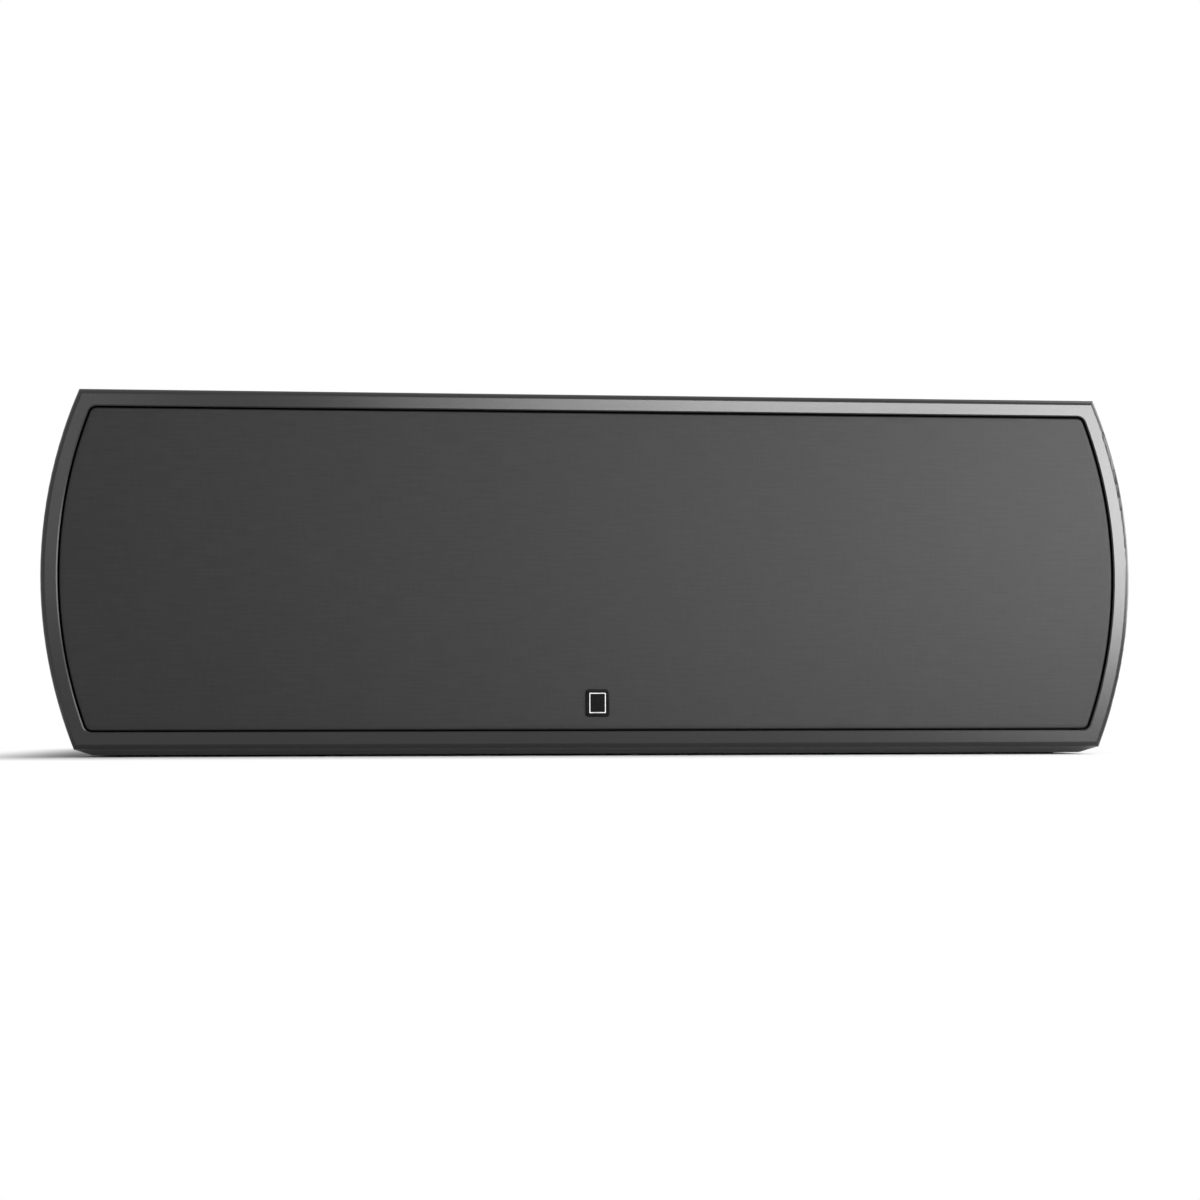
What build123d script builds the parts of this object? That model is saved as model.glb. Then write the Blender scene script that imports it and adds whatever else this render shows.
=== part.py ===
from build123d import *

import os
from math import asin, degrees, sqrt

# Center channel speaker. A painted cabinet with bowed ends holds two woofers either side of a dome
# tweeter. A cloth grille covers the front, and the back has two reflex ports and a pair of binding posts.
# X runs to the listener's right, Y from front to back and Z up from the floor, in millimetres.

# Cabinet boards
cabinet_width = 610.0
end_bow = 19.5
cabinet_height = 198.0
cabinet_depth = 255.0
wall = 18.0
lip = 9.5
edge_round = 3.0
lip_chamfer = 0.6
recess_corner = 5.0
baffle_thickness = 20.0
rear_thickness = 18.0
rear_lip = 9.0
glue_gap = 0.2
brace_thickness = 15.0
brace_border = 24.0
brace_corner = 18.0
brace_clearance = 5.5

# Bevelled base of the bottom board, and the rubber feet under it
base_drop = 3.2
base_run = 8.0
base_margin = 0.5
foot_radius = 12.0
foot_height = 1.0
foot_taper = 12.0
foot_inset_x = 30.0
foot_inset_y = 30.0

# Grille
grille_recess = 14.0
grille_gap = 1.2
grille_setback = 1.2
grille_corner = 4.0
cloth_thickness = 1.0
cloth_round = 1.5
rest_gap = 0.2
window_rail = 10.5
tweeter_window_radius = 58.0
window_chamfer = 3.0
peg_radius = 3.5
peg_length = 10.0
peg_offset = 74.0
peg_edge = 12.5
peg_fit = 0.2
socket_radius = 5.5
socket_flange_radius = 7.5
socket_flange = 1.8
socket_depth = 12.0
badge_width = 13.2
badge_height = 15.3
badge_thickness = 1.0
badge_corner = 1.2
badge_rise = 6.8

# Woofers, depths counted back from the baffle's face
woofer_end_margin = 27.5
woofer_edge_margin = 6.5
woofer_flange = 4.5
woofer_rim = 11.0
woofer_screw_inset = 5.5
woofer_screw_count = 6
woofer_screw_start = 90.0
flush_fit = 0.3
seat_drop = 1.5
sheet = 1.0
cone_margin = 28.0
cone_land = 5.0
cone_neck_depth = 25.5
roll_radius = 4.75
surround_land = 6.0
coil_radius = 16.4
former_wall = 0.5
winding = 0.7
winding_length = 12.0
coil_overhang = 3.0
air_gap = 0.7
cap_radius = 20.0
cap_height = 5.5
spider_depth = 31.0
spider_land = 7.5
spider_bare = 4.4
spider_waves = 8
wave_height = 1.5
basket_depth = 47.0
basket_web = 3.0
basket_taper = 12.0
basket_spokes = 6
spoke_width = 15.0
spoke_start = 0.0
plate_thickness = 6.0
plate_step = 2.0
magnet_share = 0.542
magnet_bore = 24.0
magnet_length = 18.0
vent_radius = 5.0

# Tweeter, depths counted back from the baffle's face
tweeter_radius = 52.0
tweeter_plate = 4.0
tweeter_cutout_radius = 38.0
tweeter_screw_inset = 6.0
tweeter_screw_count = 4
tweeter_screw_start = 45.0
tweeter_flare_radius = 27.0
dome_radius = 13.2
dome_height = 5.2
dome_roll = 2.05
dome_sheet = 0.6
dome_land = 4.3
tweeter_boss = 1.0
tweeter_boss_radius = 34.0
tweeter_coil_length = 5.6
tweeter_gap = 0.6
tweeter_motor_radius = 33.0
tweeter_top_plate = 4.0
tweeter_magnet_radius = 36.0
tweeter_magnet_bore = 18.0
tweeter_magnet_length = 12.0
tweeter_back_plate = 5.0

# Wood screws
screw_head_radius = 3.8
screw_head = 2.2
screw_radius = 2.0
screw_length = 15.0
screw_fit = 0.1
screw_sink = 1.6
sink_fit = 0.3

# Reflex ports, reach counted back from the rear face
port_bore = 25.0
port_wall = 2.5
port_length = 110.0
port_flange = 4.0
port_flange_radius = 37.0
port_flare = 7.0
port_fit = 0.3

# Terminal plate and binding posts, reach counted back from the rear face
terminal_width = 96.0
terminal_height = 64.0
terminal_thickness = 4.0
terminal_corner = 6.0
terminal_border = 11.0
terminal_screw_inset = 6.5
collar_radius = 8.2
collar_height = 3.0
post_spacing = 19.05
post_radius = 3.0
post_bore = 2.0
post_bore_depth = 15.5
post_inside = 12.0
post_shoulder_radius = 5.6
post_shoulder = 2.0
wire_hole_radius = 1.3
knob_radius = 7.6
knob_length = 18.7
knob_gap = 0.3
knob_base = 3.0
knob_flutes = 12
flute_radius = 0.9
thread_fit = 0.1
nut_radius = 5.8
nut_height = 4.0

# Crossover on the floor of the cabinet, and the leads
board_width = 120.0
board_length = 90.0
board_thickness = 1.6
board_rear_gap = 22.0
pillar_radius = 3.5
pillar_height = 6.0
pillar_inset = 5.5
big_coil_radius = 21.0
big_coil_bore = 9.0
big_coil_height = 20.0
small_coil_radius = 14.0
small_coil_bore = 6.0
small_coil_height = 14.0
coil_row = 22.0
component_column = 37.0
capacitor_radius = 8.0
capacitor_length = 36.0
capacitor_rows = (15.0, 34.0)
resistor_side = 9.0
resistor_rows = (3.5, 16.0)
lead_radius = 2.2
lead_bend = 15.0
lead_gap = 0.3
woofer_lead_side = 8.0
woofer_lead_row = -10.0
tweeter_lead_row = -30.0
tweeter_lead_drop = 20.0
input_lead_row = 30.0

# Damping pads under the top board
pad_side_gap = 7.5
pad_length = 120.0
pad_thickness = 20.0

# Places worked out from the sizes above
knob_start = terminal_thickness + collar_height + post_shoulder + knob_gap
post_reach = knob_start + knob_length
front_y = -(cabinet_depth + post_reach) / 2
rear_y = front_y + cabinet_depth
baffle_y = front_y + grille_recess
base_z = foot_height + base_drop
mid_z = base_z + cabinet_height / 2
floor_z = base_z + wall
ceiling_z = base_z + cabinet_height - wall
bow_radius = ((cabinet_height / 2) ** 2 + end_bow**2) / (2 * end_bow)
corner_x = cabinet_width / 2 - end_bow
base_width = 2 * (corner_x - base_margin)
base_depth = cabinet_depth - 2 * (edge_round + base_margin)
woofer_flange_radius = cabinet_height / 2 - lip - woofer_edge_margin
woofer_cutout_radius = woofer_flange_radius - woofer_rim
woofer_screw_radius = woofer_flange_radius - woofer_screw_inset
cone_edge_radius = woofer_flange_radius - cone_margin
tweeter_screw_radius = tweeter_radius - tweeter_screw_inset
woofer_x = cabinet_width / 2 - lip - woofer_end_margin - woofer_flange_radius
brace_x = woofer_x - woofer_cutout_radius - brace_clearance - brace_thickness / 2
rear_inside = cabinet_depth - rear_thickness
baffle_back = grille_recess + baffle_thickness
cloth_inset = lip + grille_gap
frame_inset = cloth_inset + cloth_thickness + glue_gap
frame_front = grille_setback + cloth_thickness
frame_back = grille_recess - socket_flange - rest_gap
frame_half_height = cabinet_height / 2 - frame_inset
woofer_window_radius = frame_half_height - window_rail
peg_places = [
    (column * (woofer_x + peg_offset), row * (frame_half_height - peg_edge))
    for column in (-1, 0, 1)
    for row in (-1, 1)
]
seat_radius = cone_edge_radius + 2 * roll_radius + surround_land
throat_radius = cone_edge_radius + 2 * roll_radius
shelf_outer = throat_radius - basket_taper
shelf_inner = shelf_outer - spider_land
magnet_radius = woofer_flange_radius * magnet_share
motor_radius = magnet_radius - plate_step
neck_radius = coil_radius + glue_gap
pole_radius = coil_radius - former_wall - air_gap
gap_radius = coil_radius + winding + air_gap
magnet_front = basket_depth + plate_thickness
magnet_back = magnet_front + magnet_length
cone_slope = (cone_neck_depth - seat_drop) / (cone_edge_radius - cone_land - neck_radius)
terminal_screw_x = terminal_width - 2 * terminal_screw_inset
terminal_screw_z = terminal_height - 2 * terminal_screw_inset
board_y = front_y + rear_inside - board_rear_gap - board_length / 2
board_top = floor_z + pillar_height + board_thickness


def front_plane(behind):
    """Plane parallel to the front, facing the listener, a distance behind the cabinet's front edge."""
    return Plane(origin=(0, front_y + behind, mid_z), x_dir=(1, 0, 0), z_dir=(0, -1, 0))


def driver_plane(x, depth=0.0):
    """Plane across a driver's axis, facing the listener, at a depth behind the baffle's face."""
    return Plane(origin=(x, baffle_y + depth, mid_z), x_dir=(1, 0, 0), z_dir=(0, -1, 0))


def rear_plane(x, reach=0.0):
    """Plane facing backwards on an axis through the rear panel, a distance behind the rear face."""
    return Plane(origin=(x, rear_y + reach, mid_z), x_dir=(-1, 0, 0), z_dir=(0, 1, 0))


def section_plane(x, y):
    """Plane through a front-to-back axis, with radius along X and distance towards the back along Y."""
    return Plane(origin=(x, y, mid_z), x_dir=(1, 0, 0), z_dir=(0, 0, 1))


def long_axis(x):
    """Front-to-back axis at mid height."""
    return Axis((x, 0, mid_z), (0, 1, 0))


def bowed_face(behind, inset, corner=0.0):
    """The cabinet's front outline, set in all round, on a plane behind the front edge."""
    half_height = cabinet_height / 2 - inset
    reach = cabinet_width / 2 - inset
    bow = bow_radius - inset
    corner_reach = reach - bow + sqrt(bow**2 - half_height**2)
    with BuildSketch(front_plane(behind)) as face:
        with BuildLine():
            Line((-corner_reach, half_height), (corner_reach, half_height))
            ThreePointArc((corner_reach, half_height), (reach, 0), (corner_reach, -half_height))
            Line((corner_reach, -half_height), (-corner_reach, -half_height))
            ThreePointArc((-corner_reach, -half_height), (-reach, 0), (-corner_reach, half_height))
        make_face()
        if corner:
            fillet(face.vertices(), corner)
    return face.sketch


def ring(x, near, far, inner, outer):
    """Plain ring round a driver's axis, between two depths behind the baffle's face."""
    with BuildPart() as piece:
        with BuildSketch(driver_plane(x, far)):
            Circle(outer)
            Circle(inner, mode=Mode.SUBTRACT)
        extrude(amount=far - near)
    return piece


def turned(x, y, *points):
    """Solid of revolution round a front-to-back axis, from the corners of its half section."""
    with BuildPart() as piece:
        with BuildSketch(section_plane(x, y)):
            with BuildLine():
                Polyline(*points, close=True)
            make_face()
        revolve(axis=long_axis(x))
    return piece


def ring_of_screws(x, radius, count, start):
    """Pan-head wood screws on a circle round a driver's axis, heads sunk in its flange."""
    with BuildPart() as screws:
        with BuildSketch(driver_plane(x, screw_sink)):
            with PolarLocations(radius, count, start_angle=start):
                Circle(screw_head_radius)
        extrude(amount=screw_head)
        with BuildSketch(driver_plane(x, screw_sink)):
            with PolarLocations(radius, count, start_angle=start):
                Circle(screw_radius)
        extrude(amount=-screw_length)
    return screws


def lead(*routes):
    """Insulated leads, each a round tube along straight runs joined by bends."""
    with BuildPart() as wires:
        for points in routes:
            with BuildLine() as route:
                FilletPolyline(*points, radius=lead_bend)
            with BuildSketch(Plane(origin=route.line @ 0, z_dir=route.line % 0)):
                Circle(lead_radius)
            sweep(path=route.line)
    return wires


def save(piece, name):
    """Label a finished piece and write it as a STEP file of that name."""
    piece.part.label = name
    export_step(piece.part, f"parts/{name}.step")


# Cabinet: one wrap of boards with rounded front and rear edges, a recess for the baffle and the grille,
# and a rebate for the rear panel. The bowed ends stand between the top board and the bottom board,
# whose base stands down below it with bevelled sides.
with BuildPart() as wrap:
    extrude(bowed_face(cabinet_depth, 0), amount=cabinet_depth)
    fillet(wrap.edges().group_by(Axis.Y)[0] + wrap.edges().group_by(Axis.Y)[-1], edge_round)
    extrude(bowed_face(cabinet_depth, wall), amount=cabinet_depth, mode=Mode.SUBTRACT)
    extrude(bowed_face(cabinet_depth, rear_lip), amount=rear_thickness, mode=Mode.SUBTRACT)
    extrude(bowed_face(baffle_back, lip, recess_corner), amount=baffle_back, mode=Mode.SUBTRACT)
    chamfer(wrap.edges(Select.LAST).group_by(Axis.Y)[0], lip_chamfer)

with BuildPart() as top_panel:
    add(wrap.part)
    split(bisect_by=Plane.XY.offset(ceiling_z), keep=Keep.TOP)

with BuildPart() as bottom_panel:
    add(wrap.part)
    split(bisect_by=Plane.XY.offset(floor_z), keep=Keep.BOTTOM)
    for z, run in ((base_z, 0), (foot_height, base_run)):
        with BuildSketch(Plane.XY.offset(z)):
            with Locations((0, (front_y + rear_y) / 2)):
                Rectangle(base_width - 2 * run, base_depth - 2 * run)
    loft()


def end_board(keep):
    """One bowed end of the cabinet, between the top board and the bottom board."""
    with BuildPart() as board:
        add(wrap.part)
        split(bisect_by=Plane.XY.offset(ceiling_z), keep=Keep.BOTTOM)
        split(bisect_by=Plane.XY.offset(floor_z), keep=Keep.TOP)
        split(bisect_by=Plane.YZ, keep=keep)
    return board


# Baffle: bored for the drivers, whose flanges lie flush in it, and for the grille's sockets.
with BuildPart() as front_baffle:
    extrude(bowed_face(baffle_back, lip + glue_gap, recess_corner), amount=baffle_thickness)
    for x in (-woofer_x, woofer_x):
        with BuildSketch(driver_plane(x)):
            Circle(woofer_flange_radius + flush_fit)
        extrude(amount=-woofer_flange, mode=Mode.SUBTRACT)
        with BuildSketch(driver_plane(x)):
            Circle(woofer_cutout_radius)
        extrude(amount=-baffle_thickness, mode=Mode.SUBTRACT)
        with BuildSketch(driver_plane(x)):
            with PolarLocations(woofer_screw_radius, woofer_screw_count, start_angle=woofer_screw_start):
                Circle(screw_radius + screw_fit)
        extrude(amount=-(screw_sink + screw_length + screw_fit), mode=Mode.SUBTRACT)
    with BuildSketch(driver_plane(0)):
        Circle(tweeter_radius + flush_fit)
    extrude(amount=-tweeter_plate, mode=Mode.SUBTRACT)
    with BuildSketch(driver_plane(0)):
        Circle(tweeter_cutout_radius)
    extrude(amount=-baffle_thickness, mode=Mode.SUBTRACT)
    with BuildSketch(driver_plane(0)):
        with PolarLocations(tweeter_screw_radius, tweeter_screw_count, start_angle=tweeter_screw_start):
            Circle(screw_radius + screw_fit)
    extrude(amount=-(screw_sink + screw_length + screw_fit), mode=Mode.SUBTRACT)
    with BuildSketch(driver_plane(0)):
        with Locations(*peg_places):
            Circle(socket_radius + glue_gap)
    extrude(amount=-(socket_depth + glue_gap), mode=Mode.SUBTRACT)

# Rear panel: bored for the ports and opened behind the terminal plate.
with BuildPart() as rear_panel:
    extrude(bowed_face(cabinet_depth, rear_lip + glue_gap), amount=rear_thickness)
    with BuildSketch(front_plane(cabinet_depth)):
        with Locations((-woofer_x, 0), (woofer_x, 0)):
            Circle(port_bore + port_wall + port_fit)
        Rectangle(terminal_width - 2 * terminal_border, terminal_height - 2 * terminal_border)
        with GridLocations(terminal_screw_x, terminal_screw_z, 2, 2):
            Circle(screw_radius + screw_fit)
    extrude(amount=rear_thickness, mode=Mode.SUBTRACT)


def brace(x):
    """Window brace from the baffle to the rear panel, glued to the top and the bottom."""
    depth = rear_inside - baffle_back
    height = ceiling_z - floor_z
    middle = Plane(
        origin=(x - brace_thickness / 2, front_y + baffle_back + depth / 2, mid_z),
        x_dir=(0, 1, 0),
        z_dir=(1, 0, 0),
    )
    with BuildPart() as board:
        with BuildSketch(middle):
            Rectangle(depth, height)
            RectangleRounded(
                depth - 2 * brace_border, height - 2 * brace_border, brace_corner, mode=Mode.SUBTRACT
            )
        extrude(amount=brace_thickness)
    return board


# Feet: four thin rubber pads under the bottom board's base.
with BuildPart() as rubber_feet:
    with BuildSketch(Plane.XY.offset(foot_height)):
        with Locations((0, (front_y + rear_y) / 2)):
            with GridLocations(2 * (corner_x - foot_inset_x), cabinet_depth - 2 * foot_inset_y, 2, 2):
                Circle(foot_radius)
    extrude(amount=-foot_height, taper=foot_taper)

# Grille: cloth stretched over a board with three round windows, on six pegs.
with BuildPart() as grille_cloth:
    extrude(bowed_face(frame_back, cloth_inset, grille_corner), amount=frame_back - grille_setback)
    fillet(grille_cloth.edges().group_by(Axis.Y)[0], cloth_round)
    extrude(
        bowed_face(frame_back, frame_inset - glue_gap, grille_corner - cloth_thickness),
        amount=frame_back - frame_front,
        mode=Mode.SUBTRACT,
    )

with BuildPart() as grille_frame:
    extrude(
        bowed_face(frame_back, frame_inset, grille_corner - cloth_thickness),
        amount=frame_back - frame_front,
    )
    with BuildSketch(front_plane(frame_back)):
        with Locations((-woofer_x, 0), (woofer_x, 0)):
            Circle(woofer_window_radius)
        Circle(tweeter_window_radius)
    extrude(amount=frame_back - frame_front, mode=Mode.SUBTRACT)
    chamfer(grille_frame.edges(Select.LAST).group_by(Axis.Y)[-1], window_chamfer)
    with BuildSketch(front_plane(frame_back)):
        with Locations(*peg_places):
            Circle(peg_radius)
    extrude(amount=-peg_length)

with BuildPart() as grille_badge:
    with BuildSketch(front_plane(grille_setback)):
        with Locations((0, badge_rise + badge_height / 2 + cloth_inset - cabinet_height / 2)):
            RectangleRounded(badge_width, badge_height, badge_corner)
    extrude(amount=badge_thickness)

# Rubber sockets that take the grille's pegs.
with BuildPart() as grille_sockets:
    with BuildSketch(driver_plane(0)):
        with Locations(*peg_places):
            Circle(socket_flange_radius)
    extrude(amount=socket_flange)
    with BuildSketch(driver_plane(0)):
        with Locations(*peg_places):
            Circle(socket_radius)
    extrude(amount=-socket_depth)
    with BuildSketch(driver_plane(0, -socket_flange)):
        with Locations(*peg_places):
            Circle(peg_radius + peg_fit)
    extrude(amount=-(peg_length + rest_gap), mode=Mode.SUBTRACT)


def woofer_basket(x):
    """Cast basket: a flush flange, six spokes, a shelf for the spider and a seat for the motor."""
    with BuildPart() as basket:
        with BuildSketch(section_plane(x, baffle_y)):
            with BuildLine():
                Polyline(
                    (woofer_flange_radius, 0),
                    (seat_radius, 0),
                    (seat_radius, seat_drop),
                    (throat_radius, seat_drop),
                    (throat_radius, woofer_flange),
                    (shelf_outer, spider_depth),
                    (shelf_inner, spider_depth),
                    (shelf_inner, basket_depth - basket_web),
                    (gap_radius + air_gap, basket_depth - basket_web),
                    (gap_radius + air_gap, basket_depth),
                    (shelf_inner + basket_web, basket_depth),
                    (shelf_inner + basket_web, spider_depth + basket_web),
                    (shelf_outer + basket_web, spider_depth + basket_web),
                    (throat_radius + basket_web, woofer_flange),
                    (woofer_flange_radius, woofer_flange),
                    close=True,
                )
            make_face()
        revolve(axis=long_axis(x))
        window_outer = throat_radius + 2 * basket_web
        window_inner = shelf_outer - basket_web
        with BuildSketch(driver_plane(x, spider_depth - basket_web)):
            Circle(window_outer)
            Circle(window_inner, mode=Mode.SUBTRACT)
            with PolarLocations((window_outer + window_inner) / 2, basket_spokes, start_angle=spoke_start):
                Rectangle(window_outer, spoke_width, mode=Mode.SUBTRACT)
        extrude(amount=spider_depth - woofer_flange - 2 * basket_web, mode=Mode.SUBTRACT)
        with BuildSketch(driver_plane(x)):
            with PolarLocations(woofer_screw_radius, woofer_screw_count, start_angle=woofer_screw_start):
                Circle(screw_radius + screw_fit)
        extrude(amount=-woofer_flange, mode=Mode.SUBTRACT)
        with BuildSketch(driver_plane(x)):
            with PolarLocations(woofer_screw_radius, woofer_screw_count, start_angle=woofer_screw_start):
                Circle(screw_head_radius + sink_fit)
        extrude(amount=-screw_sink, mode=Mode.SUBTRACT)
    return basket


def woofer_surround(x):
    """Rubber half roll between the basket's seat and the cone's edge."""
    middle = cone_edge_radius + roll_radius
    rim = seat_radius - glue_gap
    inside = roll_radius - sheet / 2
    outside = roll_radius + sheet / 2
    face = seat_drop - sheet
    with BuildPart() as surround:
        with BuildSketch(section_plane(x, baffle_y)):
            with BuildLine():
                Polyline((rim, seat_drop), (rim, face), (middle + outside, face))
                ThreePointArc((middle + outside, face), (middle, face - outside), (middle - outside, face))
                Polyline(
                    (middle - outside, face),
                    (cone_edge_radius - cone_land, face),
                    (cone_edge_radius - cone_land, seat_drop),
                    (middle - inside, seat_drop),
                    (middle - inside, face),
                )
                ThreePointArc((middle - inside, face), (middle, face - inside), (middle + inside, face))
                Polyline((middle + inside, face), (middle + inside, seat_drop), (rim, seat_drop))
            make_face()
        revolve(axis=long_axis(x))
    return surround


def woofer_cone(x):
    """Straight-sided cone with a flat land at its edge for the surround."""
    land_radius = cone_edge_radius - cone_land
    return turned(
        x,
        baffle_y,
        (cone_edge_radius, seat_drop),
        (land_radius, seat_drop),
        (neck_radius, cone_neck_depth),
        (neck_radius, cone_neck_depth + 1.5 * sheet),
        (land_radius + sheet / 2, seat_drop + sheet),
        (cone_edge_radius, seat_drop + sheet),
    )


def dome_radius_of(half_width, height):
    """Radius of the sphere whose cap has this half width and height."""
    return (half_width**2 + height**2) / (2 * height)


def woofer_dust_cap(x):
    """Thin domed cap glued to the cone over the voice coil."""
    base = cone_neck_depth - (cap_radius - neck_radius) * cone_slope - glue_gap
    outer = dome_radius_of(cap_radius, cap_height)
    inner = dome_radius_of(cap_radius - sheet, cap_height - sheet)
    outer_angle = degrees(asin(cap_radius / outer))
    inner_angle = degrees(asin((cap_radius - sheet) / inner))
    apex = base - cap_height
    with BuildPart() as cap:
        with BuildSketch(section_plane(x, baffle_y)):
            with BuildLine():
                CenterArc((0, apex + outer), outer, -90, outer_angle)
                Line((cap_radius, base), (cap_radius - sheet, base))
                CenterArc((0, apex + sheet + inner), inner, -90, inner_angle)
                Line((0, apex + sheet), (0, apex))
            make_face()
        revolve(axis=long_axis(x))
    return cap


def woofer_spider(x):
    """Corrugated cloth disc that centres the voice coil."""
    wave_start = neck_radius + spider_bare
    pitch = (shelf_inner - wave_start) / spider_waves
    front = [(neck_radius, spider_depth - sheet), (wave_start, spider_depth - sheet)]
    for step in range(1, spider_waves):
        rise = wave_height if step % 2 else -wave_height
        front.append((wave_start + step * pitch, spider_depth - sheet - rise))
    front.append((shelf_inner, spider_depth - sheet))
    front.append((shelf_outer - rest_gap, spider_depth - sheet))
    back = [(radius, depth + sheet) for radius, depth in reversed(front)]
    return turned(x, baffle_y, *front, *back)


def woofer_voice_coil(x):
    """Former with its winding centred in the magnet's gap."""
    top = cone_neck_depth - sheet / 2
    winding_top = basket_depth - coil_overhang
    winding_end = winding_top + winding_length
    return turned(
        x,
        baffle_y,
        (coil_radius - former_wall, top),
        (coil_radius, top),
        (coil_radius, winding_top),
        (coil_radius + winding, winding_top),
        (coil_radius + winding, winding_end),
        (coil_radius - former_wall, winding_end),
    )


def woofer_yoke(x):
    """Vented pole and back plate in one piece."""
    return turned(
        x,
        baffle_y,
        (vent_radius, basket_depth),
        (pole_radius, basket_depth),
        (pole_radius, magnet_back),
        (motor_radius, magnet_back),
        (motor_radius, magnet_back + plate_thickness),
        (vent_radius, magnet_back + plate_thickness),
    )


# Tweeter: a faceplate with a short flare, a moulded fabric dome and a ring-magnet motor.
tweeter_throat = dome_radius + 2 * dome_roll
rim_radius = tweeter_throat + dome_land
dome_face = tweeter_plate + glue_gap
motor_face = tweeter_plate + tweeter_boss
tweeter_magnet_back = motor_face + tweeter_top_plate + tweeter_magnet_length
tweeter_back = tweeter_magnet_back + tweeter_back_plate

with BuildPart() as tweeter_faceplate:
    with BuildSketch(section_plane(0, baffle_y)):
        with BuildLine():
            Polyline(
                (tweeter_radius, 0),
                (tweeter_flare_radius, 0),
                (tweeter_throat, tweeter_plate),
                (rim_radius + glue_gap, tweeter_plate),
                (rim_radius + glue_gap, motor_face),
                (tweeter_boss_radius, motor_face),
                (tweeter_boss_radius, tweeter_plate),
                (tweeter_radius, tweeter_plate),
                close=True,
            )
        make_face()
    revolve(axis=long_axis(0))
    with BuildSketch(driver_plane(0)):
        with PolarLocations(tweeter_screw_radius, tweeter_screw_count, start_angle=tweeter_screw_start):
            Circle(screw_radius + screw_fit)
    extrude(amount=-tweeter_plate, mode=Mode.SUBTRACT)
    with BuildSketch(driver_plane(0)):
        with PolarLocations(tweeter_screw_radius, tweeter_screw_count, start_angle=tweeter_screw_start):
            Circle(screw_head_radius + sink_fit)
    extrude(amount=-screw_sink, mode=Mode.SUBTRACT)

with BuildPart() as tweeter_dome:
    crown = dome_radius_of(dome_radius, dome_height)
    crown_angle = degrees(asin(dome_radius / crown))
    roll_middle = dome_radius + dome_roll
    roll_inside = dome_roll - dome_sheet
    back = dome_face + dome_sheet
    with BuildSketch(section_plane(0, baffle_y)):
        with BuildLine():
            CenterArc((0, dome_face - dome_height + crown), crown, -90, crown_angle)
            ThreePointArc(
                (dome_radius, dome_face), (roll_middle, dome_face - dome_roll), (tweeter_throat, dome_face)
            )
            Polyline(
                (tweeter_throat, dome_face),
                (rim_radius, dome_face),
                (rim_radius, back),
                (roll_middle + roll_inside, back),
                (roll_middle + roll_inside, dome_face),
            )
            ThreePointArc(
                (roll_middle + roll_inside, dome_face),
                (roll_middle, dome_face - roll_inside),
                (roll_middle - roll_inside, dome_face),
            )
            Polyline(
                (roll_middle - roll_inside, dome_face),
                (roll_middle - roll_inside, back),
                (dome_radius, back),
            )
            CenterArc((0, back - dome_height + crown), crown, -90, crown_angle)
            Line((0, back - dome_height), (0, dome_face - dome_height))
        make_face()
    revolve(axis=long_axis(0))

tweeter_coil_front = dome_face + dome_sheet + glue_gap
tweeter_pole = dome_radius - dome_sheet - tweeter_gap
tweeter_voice_coil = ring(
    0, tweeter_coil_front, tweeter_coil_front + tweeter_coil_length, dome_radius - dome_sheet, dome_radius
)
tweeter_top_ring = ring(
    0, motor_face, motor_face + tweeter_top_plate, dome_radius + tweeter_gap, tweeter_motor_radius
)
tweeter_magnet = ring(
    0, motor_face + tweeter_top_plate, tweeter_magnet_back, tweeter_magnet_bore, tweeter_magnet_radius
)
tweeter_yoke = turned(
    0,
    baffle_y,
    (0, motor_face),
    (tweeter_pole, motor_face),
    (tweeter_pole, tweeter_magnet_back),
    (tweeter_motor_radius, tweeter_magnet_back),
    (tweeter_motor_radius, tweeter_back),
    (0, tweeter_back),
)


def port_tube(x):
    """Reflex port: a tube with a flange on the rear face and a flared mouth."""
    mouth = port_bore + port_flare
    flare_start = port_flange - port_flare
    diagonal = port_flare * sqrt(0.5)
    with BuildPart() as port:
        with BuildSketch(section_plane(x, rear_y)):
            with BuildLine():
                ThreePointArc(
                    (port_bore, flare_start), (mouth - diagonal, flare_start + diagonal), (mouth, port_flange)
                )
                Polyline(
                    (mouth, port_flange),
                    (port_flange_radius, port_flange),
                    (port_flange_radius, 0),
                    (port_bore + port_wall, 0),
                    (port_bore + port_wall, -port_length),
                    (port_bore, -port_length),
                    (port_bore, flare_start),
                )
            make_face()
        revolve(axis=long_axis(x))
    return port


# Terminal plate with a collar round each binding post.
with BuildPart() as terminal_plate:
    with BuildSketch(rear_plane(0)):
        RectangleRounded(terminal_width, terminal_height, terminal_corner)
    extrude(amount=terminal_thickness)
    with BuildSketch(rear_plane(0, terminal_thickness)):
        with GridLocations(post_spacing, 0, 2, 1):
            Circle(collar_radius)
    extrude(amount=collar_height)
    with BuildSketch(rear_plane(0)):
        with GridLocations(post_spacing, 0, 2, 1):
            Circle(post_radius + thread_fit)
        with GridLocations(terminal_screw_x, terminal_screw_z, 2, 2):
            Circle(screw_radius + screw_fit)
    extrude(amount=terminal_thickness + collar_height, mode=Mode.SUBTRACT)

with BuildPart() as terminal_screws:
    with BuildSketch(rear_plane(0, terminal_thickness)):
        with GridLocations(terminal_screw_x, terminal_screw_z, 2, 2):
            Circle(screw_head_radius)
    extrude(amount=screw_head)
    with BuildSketch(rear_plane(0, terminal_thickness)):
        with GridLocations(terminal_screw_x, terminal_screw_z, 2, 2):
            Circle(screw_radius)
    extrude(amount=-screw_length)

with BuildPart() as post_nuts:
    with BuildSketch(rear_plane(0, -nut_height)):
        with GridLocations(post_spacing, 0, 2, 1):
            RegularPolygon(nut_radius, 6)
            Circle(post_radius + thread_fit, mode=Mode.SUBTRACT)
    extrude(amount=nut_height)


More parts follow.
